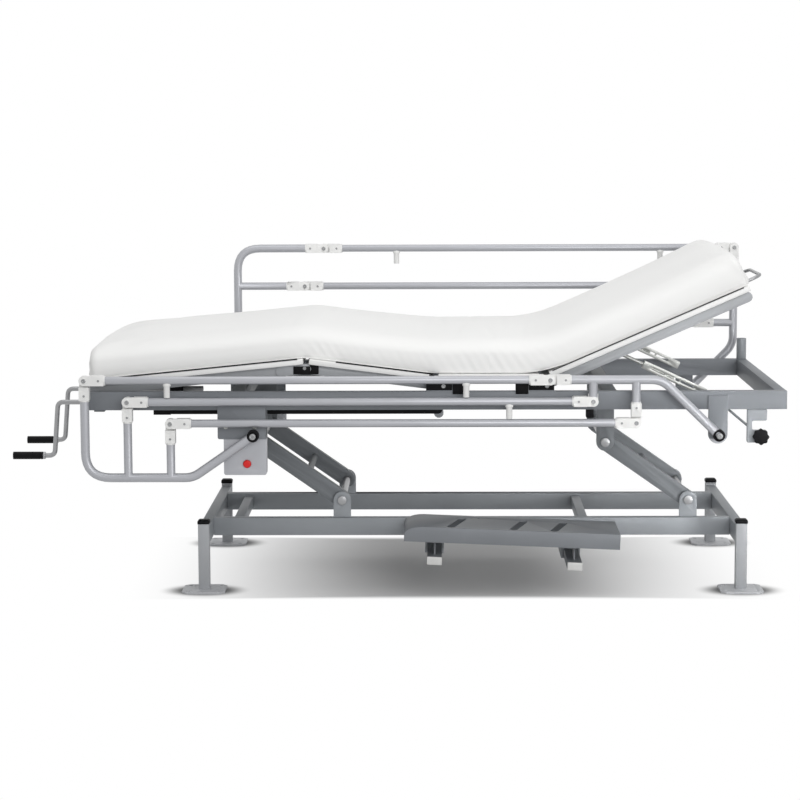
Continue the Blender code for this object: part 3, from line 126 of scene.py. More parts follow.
END_KNEE = 0.167
HEAD_KNEE = 0.157
END_BEND = 0.070
END_RADIUS = 0.0125
POST_RADIUS = 0.0118
BAR_RADIUS = 0.011
FITTING_START = 0.018
FITTING_END = 0.058
FITTING_TALL = 0.028
FITTING_WIDE = 0.026
KNUCKLE_RADIUS = 0.014
BOSS_RADIUS = 0.0165
BOSS_HOLLOW_SHARE = 0.62
BOSS_HOLLOW_DEPTH = 0.003
TUBE_INSET = 0.030  # where a tube starts inside its fitting
POST_LIFTS = (0.010, 0.030)
BOLT_HEAD = (0.0060, 0.0028)  # radius and height
SCREW_HEAD = (0.0032, 0.0016)
SCREW_REACH = 0.042
BAR_SCREW_REACH = 0.040
FITTING_COLLAR_RADIUS = 0.0132
SPACERS = {"top": (0.227, 1.049), "middle": (1.049,)}
SPACER_RADIUS = 0.0085
SPACER_DROP = 0.0479
SPACER_TOP = -0.0060
SPACER_FLANGE = (-0.0160, -0.0080)
SPACER_FLANGE_PROUD = 0.0024
LEG_PLACES = {"foot": -0.5165, "head": 0.9885}
LEG_Y = 0.379
LEG_SIDE = 0.031
LEG_TOP_Z = 0.203
LEG_CAP_TALL = 0.012
LEG_CAP_PROUD = 0.0015
LEG_CAP_DOME = 0.003
LEG_CAP_INSET = 0.005
LEG_PLATE_TOP_Z = 0.0062
PIVOT_HEAD_RADIUS = 0.0085
PIVOT_HEAD_TALL = 0.0054
PIVOT_PROUD = 0.0056
BRACKET_BOLTS = (-0.0768, 0.003)
BRACKET_BOLT_RISE = 0.0224
BRACKET_BOLT_RADIUS = 0.0062
BRACKET_FACE_Y = 0.458
BRACKET_LOW_Z = 0.440
FRAME_SIDE_Y = 0.450
SECTION_SIDE_Y = 0.410
KNEE = (-0.224201, 0.629993)
CLAMP_BRACE = (0.0545, 0.0460)
CLAMP_BRACE_RADIUS = 0.0034
BUFFER_HEIGHT = (0.5635, 0.5992)
BUFFER_PROUD = 0.0046
HINGE_PLATE_HEIGHT = (0.5740, 0.5985)
HINGE_PLATE_PROUD = 0.0026
BEARINGS = (
    ((0.1815, 0.2140), BUFFER_HEIGHT, BUFFER_PROUD),
    ((0.3548, 0.3900), BUFFER_HEIGHT, BUFFER_PROUD),
    ((0.1085, 0.1800), HINGE_PLATE_HEIGHT, HINGE_PLATE_PROUD),
    ((0.3915, 0.4605), HINGE_PLATE_HEIGHT, HINGE_PLATE_PROUD),
)
BEARING_BOLTS = (0.1560, BACK_HINGE_X)
RAIL_STOP = (0.5490, 0.5705)
RAIL_STOP_HEIGHT = (0.4960, 0.5203)
# Dark strips under the mattress's edges: painted shade for the shadow gap between the mattress and the panels
SHADOW_GAP_STRIPS = (
    ("foot", KNEE, -FOOT_SLOPE, (-FOOT_LENGTH + 0.030, -0.020), 0.0034),
    ("thigh", (THIGH_HINGE_X, SECTION_AXIS_Z), THIGH_ANGLE, (-THIGH_LENGTH + 0.080, -0.006), 0.0034),
    ("back", (BACK_HINGE_X, SECTION_AXIS_Z), -BACK_ANGLE, (0.030, BACK_LENGTH - 0.015), 0.0020),
)
STEP_LEAN = math.radians(2.4)
STEP_MIDDLE = (0.325, 0.090)
STEP_SLIDES = (0.130, 0.520)
STEP_SLIDE_WIDE = 0.040
STEP_SLIDE_TALL = 0.021
STEP_SLIDE_FRONT_Y = -0.455

# The mattress, along its underside from the foot end
ACROSS_HALF = 22
SHOULDER_STEPS = 12
HEM_STEPS = 3
WALL_STEPS = 5
SIDE_STEPS = HEM_STEPS + WALL_STEPS + SHOULDER_STEPS
RING_SPACING = 0.0070
MATTRESS_GAP = 0.0011  # above the panels
BENDS = (0.16, 0.9, 0.42)  # radii at the knee, thigh hinge and back hinge
WALL_BULGE = 0.0016
SOFT_DRIFT = 0.0014
SHOULDER_WIDE = 0.075
SHOULDER_TALL = 0.045
HEM_ROUND = 0.011
HEAD_OVERHANG = 0.009
FOOT_END_INSET = 0.004
FOOT_END_ROUND = 0.028
HEAD_END_ROUND = 0.014
# Distance from the foot end, and the change of thickness there
THICKNESS_ALONG = ((0.0, 0.0), (0.61, -0.005), (1.10, 0.005), (1.62, 0.0), (1.92, 0.008))
# Middle, reach and strength of the loose stretches
SIDE_FOLDS = ((0.66, 0.07, 0.9), (0.88, 0.20, 0.4), (1.13, 0.15, 1.0))
FOLD_SPACING = 0.028
FOLD_SLANT = 0.11
FOLD_MIDDLE = 0.26  # share of the way from the hem over the shoulder
FOLD_REACH = 0.25
SEAT_AT = 1.10
SEAT_SAG = 0.008
SEAT_SAG_REACH = 0.15
CLOTH_FRAMES = 20
CLOTH = {
    "quality": 6, "use_pressure": True, "uniform_pressure_force": 4,
    "vertex_group_mass": "held", "vertex_group_shrink": "loose", "shrink_max": -0.05,
}
SWELL_LIMIT = 0.006
CREASE_WIDTH = 0.0105
CREASE_DRIFT = 0.006
# Place along the mattress, span across it, lean and depth
CREASES = (
    (0.930, -0.30, 0.20, 0.06, 1.0), (0.985, -0.10, 0.34, -0.03, 0.8), (1.035, -0.36, 0.02, 0.05, 1.1),
    (1.075, 0.02, 0.40, 0.02, 0.9), (1.120, -0.40, -0.08, -0.06, 1.0), (1.165, -0.22, 0.30, 0.03, 0.7),
    (0.575, -0.40, -0.05, 0.04, 0.6), (0.640, -0.05, 0.38, -0.04, 0.6), (1.235, -0.38, 0.10, 0.08, 0.6),
)
# Name, bodies before and after its bend, reach of the bend, nodes that it stands for
MATTRESS_STRETCHES = (
    ("mattress_foot_end", "foot", "thigh", 0.085, ["foot_mattress", "thigh_mattress"]),
    ("mattress_seat", "thigh", "bed_frame", 0.085, ["seat_mattress"]),
    ("mattress_back", "bed_frame", "back", 0.120, ["back_mattress"]),
)


def length_property(name, description, default):
    return bpy.props.FloatProperty(name=name, description=description, default=default, unit="LENGTH")


class BedSizes(bpy.types.PropertyGroup):
    """Sizes that a user would change."""

    mattress_thickness: length_property("Mattress thickness", "Height of the mattress above its panels", 0.09)
    mattress_half_width: length_property("Mattress half width", "From the middle to a side", 0.4195)
    mattress_crown: length_property("Mattress crown", "Rise of the top in the middle", 0.006)
    wrinkle_depth: length_property("Wrinkle depth", "Depth of the creases on top", 0.0016)
    fold_depth: length_property("Fold depth", "Depth of the folds in the sides", 0.0042)
    tube_edge: length_property("Tube edge", "Rounding of the square tubes' edges", 0.0030)
    plate_edge: length_property("Plate edge", "Rounding of plate and bracket edges", 0.0012)
    fitting_edge: length_property("Fitting edge", "Rounding of the rails' plastic fittings", 0.0028)
    tube_sides: bpy.props.IntProperty(
        name="Tube sides", description="Facets round a round tube", default=28, min=8
    )


def colour_property(name, description, default):
    return bpy.props.FloatVectorProperty(
        name=name, description=description, default=default, subtype="COLOR", size=3, min=0, max=1
    )


class BedColours(bpy.types.PropertyGroup):
    """Colours that a user would change."""

    paint: colour_property("Silver paint", "Paint of the side rails", (0.435, 0.443, 0.472))
    # Frame paint is a darker copy of the silver paint: painted shade on the frame's faces under the mattress
    frame_paint: colour_property("Frame paint", "Paint of the bed frame", (0.205, 0.218, 0.236))
    # The grey paint is a darker copy of the silver paint: painted shade on the arms, lugs and cross bars under
    # the bed
    shade_paint: colour_property("Grey paint", "Paint of arms, lugs and cross bars", (0.175, 0.187, 0.199))
    # The base paint is a darker copy of the silver paint: painted shade of the base under the bed
    base_paint: colour_property("Base paint", "Paint of the base", (0.30, 0.318, 0.338))
    leg_paint: colour_property("Leg paint", "Paint of the legs", (0.40, 0.412, 0.430))
    # The plate paint is a lighter copy of the silver paint: painted light on the floor plates' tops
    plate_paint: colour_property("Plate paint", "Paint of the floor plates", (0.54, 0.55, 0.57))
    step_paint: colour_property("Step paint", "Paint of the step", (0.20, 0.212, 0.228))
    cover: colour_property("Mattress cover", "Wipe-clean cover", (0.89, 0.89, 0.88))
    panel: colour_property("Panel", "Laminated panels", (0.86, 0.86, 0.85))
    fitting: colour_property("Fitting", "White plastic fittings", (0.82, 0.82, 0.81))
    plug: colour_property("Plug", "Plugs in the step's slides", (0.62, 0.62, 0.61))
    black: colour_property("Black plastic", "Caps, grips and knob", (0.006, 0.006, 0.007))
    red: colour_property("Release red", "Release buttons", (0.70, 0.020, 0.018))
    steel: colour_property("Steel", "Cranks, shafts and the backrest's handle", (0.33, 0.333, 0.34))
    bolt: colour_property("Bolts", "Bolt and screw heads", (0.30, 0.305, 0.31))
    zinc: colour_property("Zinc", "Plated stays", (0.45, 0.458, 0.44))
    floor: colour_property("Floor", "Studio floor", (0.58, 0.58, 0.58))


def sizes():
    return bpy.context.scene.bed_sizes


def colours():
    return bpy.context.scene.bed_colours


# Finishes

EVEN = (1, 1, 1)
PAINT_GRAIN = (8, 1800, (0.42, 0.54), (0.03, 0.0003), 0.12, 0.3, EVEN)
# Colour, its spread, scales of tone and grain, roughness, bump's strength and depth, metallic, gloss, stretch
FINISHES = {
    "rail_paint": ("paint", 0.03, 8, 1800, (0.28, 0.38), (0.03, 0.0003), 0.3, 0.5, EVEN),
    "frame_paint": ("frame_paint", 0.04, *PAINT_GRAIN),
    "step_paint": ("step_paint", 0.05, *PAINT_GRAIN),
    "grey_paint": ("shade_paint", 0.05, *PAINT_GRAIN),
    "base_paint": ("base_paint", 0.04, *PAINT_GRAIN),
    "leg_paint": ("leg_paint", 0.04, *PAINT_GRAIN),
    "plate_paint": ("plate_paint", 0.05, *PAINT_GRAIN),
    "panel_laminate": ("panel", 0.02, 12, 600, (0.36, 0.5), (0.05, 0.0004), 0.0, 0.5, EVEN),
    "white_plastic": ("fitting", 0.015, 30, 2000, (0.34, 0.44), (0.02, 0.0002), 0.0, 0.5, EVEN),
    "plug_plastic": ("plug", 0.03, 60, 1600, (0.4, 0.52), (0.03, 0.0002), 0.0, 0.5, EVEN),
    "moulded_black": ("black", 0.2, 60, 1400, (0.42, 0.58), (0.1, 0.0005), 0.0, 0.1, EVEN),
    "button_red": ("red", 0.06, 60, 1200, (0.3, 0.4), (0.04, 0.0003), 0.0, 0.3, EVEN),
    "turned_steel": ("steel", 0.05, 30, 500, (0.28, 0.40), (0.04, 0.0003), 0.8, 0.4, (0.08, 1, 1)),
    "threaded_steel": ("steel", 0.06, 40, 500, (0.26, 0.4), (0.04, 0.0003), 1.0, 0.5, EVEN),
    "zinc_skin": ("zinc", 0.09, 160, 1400, (0.3, 0.46), (0.03, 0.0002), 0.85, 0.5, EVEN),
    "bolt_steel": ("bolt", 0.10, 300, 1800, (0.3, 0.42), (0.03, 0.0002), 0.7, 0.5, EVEN),
    "coated_cloth": ("cover", 0.012, 3, 60, (0.52, 0.66), (0.05, 0.001), 0.0, 0.5, EVEN),
    "studio_floor": ("floor", 0.006, 2, 80, (0.7, 0.85), (0.02, 0.0005), 0.0, 0.5, EVEN),
}
DARKENED = {"threaded_steel": 0.8}
TONE_ENDS = (0.32, 0.68)


def feed(tree, node, inputs):
    """Sets a node's inputs to values or links them to sockets."""
    for key, value in inputs.items():
        if isinstance(value, bpy.types.NodeSocket):
            tree.links.new(value, node.inputs[key])
        else:
            node.inputs[key].default_value = value


def add(tree, kind, inputs=None, **settings):
    node = tree.nodes.new(f"ShaderNode{kind}")
    for key, value in settings.items():
        setattr(node, key, value)
    feed(tree, node, inputs or {})
    return node


def calc(tree, operation, *values):
    return add(tree, "Math", dict(enumerate(values)), operation=operation).outputs["Value"]


def smooth_step(tree, inputs):
    return add(tree, "MapRange", inputs, interpolation_type="SMOOTHSTEP").outputs["Result"]


def shade(colour, factor):
    return (*[min(1.0, c * factor) for c in colour], 1)


def screw_threads(tree, place, relief):
    """The fine ridges of a screw along X."""
    ridges = add(tree, "TexWave", {"Vector": place, "Scale": 80}, bands_direction="X")
    feed(tree, relief, {"Height": ridges.outputs["Fac"], "Strength": 0.8, "Distance": 0.002})


def cloth_weave(tree, place, relief):
    """A soft sheen, and a fine weave that follows the mattress's own map."""
    own_map = add(tree, "UVMap", uv_map="cover").outputs["UV"]
    threads = [add(tree, "TexWave", {"Vector": own_map, "Scale": 260}, bands_direction=way) for way in "XY"]
    height = calc(tree, "ADD", *[node.outputs["Fac"] for node in threads])
    cloth = {"Height": height, "Normal": relief.outputs["Normal"], "Strength": 0.12, "Distance": 0.0003}
    normal = add(tree, "Bump", cloth).outputs["Normal"]
    sheen = {"Sheen Weight": 0.12, "Sheen Roughness": 0.4, "Normal": normal}
    feed(tree, tree.nodes["Principled BSDF"], sheen)


EXTRAS = {"threaded_steel": screw_threads, "coated_cloth": cloth_weave}


def finish(name):
    """A surface whose tone drifts slowly and whose grain sets its roughness and relief."""
    made = bpy.data.materials.get(name)
    if made:
        return made
    colour, spread, tone_scale, grain_scale, roughness, bump, metallic, gloss, stretch = FINISHES[name]
    made = bpy.data.materials.new(name)
    made.use_nodes = True
    tree = made.node_tree
    place = add(tree, "TexCoord").outputs["Object"]
    mapped = add(tree, "Mapping", {"Vector": place, "Scale": stretch}).outputs["Vector"]
    tone = add(tree, "TexNoise", {"Vector": mapped, "Scale": tone_scale, "Detail": 4})
    ramp = add(tree, "ValToRGB", {"Fac": tone.outputs["Fac"]})
    base = shade(getattr(colours(), colour), DARKENED.get(name, 1.0))[:3]
    for element, position, factor in zip(ramp.color_ramp.elements, TONE_ENDS, (1 - spread, 1 + spread)):
        element.position = position
        element.color = shade(base, factor)
    grain = add(tree, "TexNoise", {"Vector": mapped, "Scale": grain_scale, "Detail": 3}).outputs["Fac"]
    span = add(tree, "MapRange", {"Value": grain, "To Min": roughness[0], "To Max": roughness[1]})
    relief = add(tree, "Bump", {"Height": grain, "Strength": bump[0], "Distance": bump[1]})
    feed(tree, tree.nodes["Principled BSDF"], {
        "Base Color": ramp.outputs["Color"], "Metallic": metallic, "Specular IOR Level": gloss,
        "Roughness": span.outputs["Result"], "Normal": relief.outputs["Normal"],
    })
    if name in EXTRAS:
        EXTRAS[name](tree, place, relief)
    return made


# Shaping helpers

MERGE = (bpy.ops.mesh.remove_doubles, {"threshold": 0.00001})
FACE_OUTWARD = (bpy.ops.mesh.normals_make_consistent, {"inside": False})
EDGE_SMOOTH, TUBE_SMOOTH, COVER_SMOOTH = 36, 40, 50  # degrees


def deselect():
    bpy.ops.object.select_all(action="DESELECT")


def pick(*objects):
    deselect()
    for obj in objects:
        obj.select_set(True)
    bpy.context.view_layer.objects.active = objects[0]


def settle(obj):
    pick(obj)
    bpy.ops.object.transform_apply(location=True, rotation=True, scale=True)
    return obj


def use_modifier(obj, kind, **settings):
    pick(obj)
    modifier = obj.modifiers.new(kind.lower(), kind)
    for key, value in settings.items():
        setattr(modifier, key, value)
    bpy.ops.object.modifier_apply(modifier=modifier.name)


def smoothed(obj, degrees):
    pick(obj)
    bpy.ops.object.shade_smooth_by_angle(angle=math.radians(degrees))
    return obj


def round_edges(obj, width, segments=2, angle=40):
    use_modifier(
        obj, "BEVEL", width=width, segments=segments, limit_method="ANGLE",
        angle_limit=math.radians(angle), use_clamp_overlap=True,
    )
    return smoothed(obj, EDGE_SMOOTH)


def combine(operation, target, others):
    for other in others:
        use_modifier(target, "BOOLEAN", operation=operation, object=other, solver="EXACT")
        bpy.data.objects.remove(other, do_unlink=True)
    return target


def unite(target, *others):
    return combine("UNION", target, others)


def cut(target, *cutters):
    return combine("DIFFERENCE", target, cutters)


def block(low, high):
    deselect()
    middle = [(a + b) / 2 for a, b in zip(low, high)]
    bpy.ops.mesh.primitive_cube_add(size=1, location=middle)
    obj = bpy.context.object
    obj.scale = [b - a for a, b in zip(low, high)]
    return settle(obj)


def side_block(sign, x, y, z):
    """A block on one side of the bed, from its spans in X, in Y from the middle, and in Z."""
    low_y, high_y = sorted((sign * y[0], sign * y[1]))
    return block((x[0], low_y, z[0]), (x[1], high_y, z[1]))


def drum(start, end, radius, sides=None):
    """A round bar between two points."""
    start, end = Vector(start), Vector(end)
    along = end - start
    deselect()
    bpy.ops.mesh.primitive_cylinder_add(
        vertices=sides or sizes().tube_sides, radius=radius, depth=along.length, location=(start + end) / 2,
        rotation=along.to_track_quat("Z", "Y").to_euler(),
    )
    return settle(bpy.context.object)


def fillet(points, radius, steps=8):
    """A line of points with its corners rounded to a radius."""
    points = [Vector(p) for p in points]
    made = [points[0]]
    for before, corner, after in zip(points, points[1:], points[2:]):
        back, ahead = before - corner, after - corner
        turn = math.pi - back.angle(ahead)
        reach = min(radius * math.tan(turn / 2), 0.49 * back.length, 0.49 * ahead.length)
        start, end = corner + back.normalized() * reach, corner + ahead.normalized() * reach
        for i in range(steps + 1):
            t = i / steps
            made.append(start.lerp(corner, t).lerp(corner.lerp(end, t), t))
    made.append(points[-1])
    return made


def bent_tube(points, radius):
    """A round tube along a line of points, closed at both ends."""
    deselect()
    bpy.ops.curve.primitive_nurbs_path_add()
    obj = bpy.context.object
    line = obj.data
    line.splines.clear()
    spline = line.splines.new("POLY")
    spline.points.add(len(points) - 1)
    for target, point in zip(spline.points, points):
        target.co = (*point, 1)
    line.twist_mode = "MINIMUM"
    line.bevel_depth = radius
    line.bevel_resolution = sizes().tube_sides // 4 - 2
    line.use_fill_caps = True
    obj.location = (0, 0, 0)
    pick(obj)
    bpy.ops.object.convert(target="MESH")
    return smoothed(edit(bpy.context.object, MERGE, FACE_OUTWARD), TUBE_SMOOTH)


def edit(obj, *steps):
    """Runs mesh operators, each with its settings, on the whole of a mesh."""
    pick(obj)
    bpy.ops.object.mode_set(mode="EDIT")
    bpy.ops.mesh.select_all(action="SELECT")
    for step, settings in steps:
        step(**settings)
    bpy.ops.object.mode_set(mode="OBJECT")
    return obj


def joined(pieces):
    pick(*pieces)
    if len(pieces) > 1:
        bpy.ops.object.join()
    return bpy.context.object


def placed_copy(master, place):
    made = master.copy()
    made.data = master.data.copy()
    bpy.context.scene.collection.objects.link(made)
    made.data.transform(place)
    return made


def carry(obj, name, look, body, nodes=()):
    """Names a finished piece, gives it its finish and sets it on its body."""
    obj.name = name
    obj.data.name = name
    obj.data.materials.clear()
    obj.data.materials.append(finish(look))
    if body:
        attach(obj, body)
    if nodes:
        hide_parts(*nodes)
    return obj


def node_copy(node):
    """A free copy of a node's solid, merged and with its flat faces joined."""
    pick(NODES[node])
    bpy.ops.object.duplicate(linked=False)
    obj = bpy.context.object
    obj.parent = None
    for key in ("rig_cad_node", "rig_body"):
        del obj[key]
    bpy.ops.mesh.customdata_custom_splitnormals_clear()
    return edit(obj, MERGE, (bpy.ops.mesh.dissolve_limited, {"angle_limit": math.radians(0.6)}))


def sliced(obj, height, upper):
    """Keeps what lies above or below a level and closes the cut."""
    level = {"plane_co": (0, 0, height), "plane_no": (0, 0, 1), "use_fill": True}
    return edit(obj, (bpy.ops.mesh.bisect, {**level, "clear_inner": upper, "clear_outer": not upper}))


def domed_bolt(face, sign, radius, tall=0.0035):
    """A round head with a hexagon socket, standing out from a face that looks along Y."""
    x, y, z = face
    head = drum((x, y - sign * 0.001, z), (x, y + sign * tall, z), radius, 32)
    round_edges(head, min(tall, radius) * 0.45, 3)
    socket = drum((x, y + sign * tall * 0.4, z), (x, y + sign * tall * 2, z), radius * 0.42, 6)
    return cut(head, socket)


def dressed(node, look, width, segments=2):
    """A node's own shape with rounded edges and its finish."""
    obj = round_edges(node_copy(node), width, segments)
    return carry(obj, f"{node}_skin", look, BODY_OF[node], [node])


def dress_all(nodes, look, width, segments=2):
    for node in nodes:
        dressed(node, look, width, segments)


# Mattress


def section_line(origin, direction, lift, length):
    x, z = origin
    dx, dz = direction
    normal = (-dz, dx) if dx > 0 else (dz, -dx)
    base = Vector((x + normal[0] * lift, z + normal[1] * lift))
    return base, base + Vector(direction) * length


def crossing(first, second):
    (a, b), (c, d) = first, second
    u, v = b - a, d - c
    t = ((c.x - a.x) * v.y - (c.y - a.y) * v.x) / (u.x * v.y - u.y * v.x)
    return a + u * t


def mattress_line():
    """The mattress's underside in X and Z from the foot end to the head end, with soft bends."""
    lift = PANEL_TOP + MATTRESS_GAP
    hinge = (THIGH_HINGE_X, SECTION_AXIS_Z)
    foot_way = (-math.cos(FOOT_SLOPE), -math.sin(FOOT_SLOPE))
    thigh_way = (-math.cos(THIGH_ANGLE), math.sin(THIGH_ANGLE))
    back_way = (math.cos(BACK_ANGLE), math.sin(BACK_ANGLE))
    foot = section_line(KNEE, foot_way, lift, FOOT_LENGTH - FOOT_END_INSET)
    thigh = section_line(hinge, thigh_way, lift, THIGH_LENGTH)
    seat = section_line(hinge, (1, 0), lift, BACK_HINGE_X - THIGH_HINGE_X)
    back = section_line((BACK_HINGE_X, SECTION_AXIS_Z), back_way, lift, BACK_LENGTH + HEAD_OVERHANG)
    corners = [foot[1], crossing(foot, thigh), crossing(thigh, seat), crossing(seat, back), back[1]]
    points = [Vector((p.x, 0, p.y)) for p in corners]
    line = [points[0]]
    for i, radius in enumerate(BENDS, 1):
        line += fillet([points[i - 1], points[i], points[i + 1]], radius, 16)[1:-1]
    return line + [points[-1]], corners


def walk(line, step):
    """Evenly spaced places on a line: distance, point and direction."""
    lengths = [0.0]
    for a, b in zip(line, line[1:]):
        lengths.append(lengths[-1] + (b - a).length)
    total = lengths[-1]
    count = round(total / step)
    places = []
    index = 0
    for i in range(count + 1):
        at = total * i / count
        while index < len(line) - 2 and lengths[index + 1] < at:
            index += 1
        share = (at - lengths[index]) / (lengths[index + 1] - lengths[index])
        places.append((at, line[index].lerp(line[index + 1], share)))
    made = []
    for i, (at, point) in enumerate(places):
        ahead = places[min(i + 1, count)][1] - places[max(i - 1, 0)][1]
        made.append((at, point, ahead.normalized()))
    return made, total


def thickness_change(at):
    """How much thicker or thinner the mattress is at a distance from its foot end."""
    for (start, before), (end, after) in zip(THICKNESS_ALONG, THICKNESS_ALONG[1:]):
        if at <= end:
            share = (at - start) / (end - start)
            return before + (after - before) * (1 - math.cos(math.pi * share)) / 2
    return THICKNESS_ALONG[-1][1]


def mattress_section(half, tall, crown, inset, sag):
    """A ring of points across the mattress, from the middle of its underside round by +Y."""
    half -= inset
    top = tall - inset
    low = min(inset, HEM_ROUND)
    flat = half - HEM_ROUND
    right = [(flat * i / ACROSS_HALF, low) for i in range(ACROSS_HALF + 1)]
    hem = min(HEM_ROUND, (top - low) * 0.3)
    shoulder_tall = min(SHOULDER_TALL, (top - low) * 0.5)
    for i in range(1, HEM_STEPS + 1):
        angle = math.pi / 2 * i / HEM_STEPS
        drop = sag * math.sin(angle)
        right.append((flat + HEM_ROUND * math.sin(angle), low + hem * (1 - math.cos(angle)) - drop))
    start, end = low + hem - sag, top - shoulder_tall
    for i in range(1, WALL_STEPS + 1):
        bulge = WALL_BULGE * math.sin(math.pi * i / WALL_STEPS)
        right.append((half + bulge, start + (end - start) * i / WALL_STEPS))
    reach = half - SHOULDER_WIDE
    for i in range(1, SHOULDER_STEPS + 1):
        angle = math.pi / 2 * i / SHOULDER_STEPS
        right.append((reach + SHOULDER_WIDE * math.cos(angle), end + shoulder_tall * math.sin(angle)))
    for i in range(ACROSS_HALF - 1, -1, -1):
        share = i / ACROSS_HALF
        right.append((reach * share, top + crown * (1 - share ** 2)))
    left = [(-y, z) for y, z in reversed(right[1:-1])]
    return right + left


def crease_depth(at, y):
    """How far the top sinks at a place, in shares of the wrinkle depth."""
    total = 0.0
    for where, low, high, lean, depth in CREASES:
        middle, reach = (low + high) / 2, (high - low) / 2
        fade = max(0.0, 1 - ((y - middle) / reach) ** 2)
        drift = CREASE_DRIFT * noise.noise((y * 6, where * 40, 3.7))
        away = (at - where - lean * (y - middle) - drift) / CREASE_WIDTH
        total += depth * fade * (math.exp(-away * away) - 0.45 * math.exp(-((away - 1.9) ** 2)))
    return total


def fold_strength(at):
    """How loose the sides are at a distance from the foot end."""
    return max(share * math.exp(-(((at - middle) / reach) ** 2)) for middle, reach, share in SIDE_FOLDS)


def side_fold(at, side, share):
    """How deep the loose side is folded, at a share of the way from its hem over its shoulder."""
    place = (at + FOLD_SLANT * share) / FOLD_SPACING + 0.35 * noise.noise((at * 9, side * 3, 1.3))
    valley = (0.5 + 0.5 * math.cos(2 * math.pi * place)) ** 2
    uneven = 0.7 + 0.6 * noise.noise((round(place) * 0.73, side * 5, 8.1))
    lower = math.exp(-(((share - FOLD_MIDDLE) / FOLD_REACH) ** 2))
    return fold_strength(at) * lower * valley * uneven


def folded(rings):
    """Presses the folds of the loose cover into the sides."""
    depth = sizes().fold_depth
    size = len(rings[0][1])
    made = []
    for at, ring in rings:
        moved = []
        for i, point in enumerate(ring):
            share = (min(i, size - i) - ACROSS_HALF) / SIDE_STEPS
            side = math.copysign(1.0, point.y)
            inward = side * depth * side_fold(at, side, share) if 0 < share < 1 else 0.0
            moved.append(point - Vector((0, inward, 0)))
        made.append((at, moved))
    return made


def mattress_rings():
    values = sizes()
    line, _ = mattress_line()
    places, total = walk(line, RING_SPACING)
    rings = []
    for at, point, ahead in places:
        end_round = FOOT_END_ROUND if at < total / 2 else HEAD_END_ROUND
        near_end = min(at, total - at)
        inset = 0.0
        if near_end < end_round:
            inset = end_round - math.sqrt(max(0.0, end_round ** 2 - (end_round - near_end) ** 2))
        up = Vector((-ahead.z, 0, ahead.x))
        tall = values.mattress_thickness + thickness_change(at)
        ring = []
        sag = SEAT_SAG * math.exp(-(((at - SEAT_AT) / SEAT_SAG_REACH) ** 4))
        for y, z in mattress_section(values.mattress_half_width, tall, values.mattress_crown, inset, sag):
            soft = noise.noise((point.x * 5, y * 6, z * 9)) * SOFT_DRIFT
            share = min(1.0, max(0.0, (z / tall - 0.2) / 0.4))
            lift = (soft - crease_depth(at, y) * values.wrinkle_depth) * share
            ring.append(point + Vector((0, y, 0)) + up * (z + lift))
        rings.append((at, ring))
    return rings


def end_map(rim, inner):
    """Vertex numbers of a flat end's grid, from the first number of its rim and of its inner points."""
    columns = 2 * ACROSS_HALF
    size = 2 * (columns + SIDE_STEPS)
    rows = []
    for r in range(SIDE_STEPS + 1):
        row = [rim + (-ACROSS_HALF - r) % size]
        row += [inner + (r - 1) * (columns - 1) + c for c in range(columns - 1)]
        row.append(rim + ACROSS_HALF + r)
        rows.append(row)
    rows[0] = [rim + (c - ACROSS_HALF) % size for c in range(columns + 1)]
    rows[-1] = [rim + (-ACROSS_HALF - SIDE_STEPS - c) % size for c in range(columns + 1)]
    return rows


def end_points(ring):
    """The inner points of a flat end, spread evenly between its rim."""
    rows = end_map(0, len(ring))
    columns, last = 2 * ACROSS_HALF, SIDE_STEPS
    rim = [[ring[index] if index < len(ring) else None for index in row] for row in rows]
    made = []
    for r in range(1, last):
        v = r / last
        for c in range(1, columns):
            u = c / columns
            across = rim[r][0].lerp(rim[r][-1], u)
            upward = rim[0][c].lerp(rim[-1][c], v)
            corners = rim[0][0].lerp(rim[0][-1], u).lerp(rim[-1][0].lerp(rim[-1][-1], u), v)
            made.append(across + upward - corners)
    return made


def cover_object(name, rings, foot_points=(), head_points=()):
    """A closed stretch of the mattress, with a map in metres along and round it."""
    size = len(rings[0][1])
    points = [p for _, ring in rings for p in ring]
    faces = []
    for r in range(len(rings) - 1):
        for i in range(size):
            j = (i + 1) % size
            faces.append((r * size + i, r * size + j, (r + 1) * size + j, (r + 1) * size + i))
    round_count = len(faces)
    for rim, inner_points in ((0, foot_points), ((len(rings) - 1) * size, head_points)):
        if not inner_points:
            faces.append(tuple(range(rim, rim + size)))
            continue
        rows = end_map(rim, len(points))
        points += inner_points
        for low, high in zip(rows, rows[1:]):
            faces += [(low[c], low[c + 1], high[c + 1], high[c]) for c in range(len(low) - 1)]
    mesh = bpy.data.meshes.new(name)
    mesh.from_pydata(points, [], faces)
    own_map = mesh.uv_layers.new(name="cover")
    round_at = [0.0]
    middle = rings[len(rings) // 2][1]
    for a, b in zip(middle, middle[1:]):
        round_at.append(round_at[-1] + (b - a).length)
    for face in mesh.polygons:
        for loop in face.loop_indices:
            vertex = mesh.loops[loop].vertex_index
            ring, index = divmod(vertex, size)
            place = mesh.vertices[vertex].co.yz
            if face.index < round_count:
                place = (rings[ring][0], round_at[index])
            own_map.data[loop].uv = place
    obj = bpy.data.objects.new(name, mesh)
    bpy.context.scene.collection.objects.link(obj)
    return smoothed(edit(obj, FACE_OUTWARD), COVER_SMOOTH)


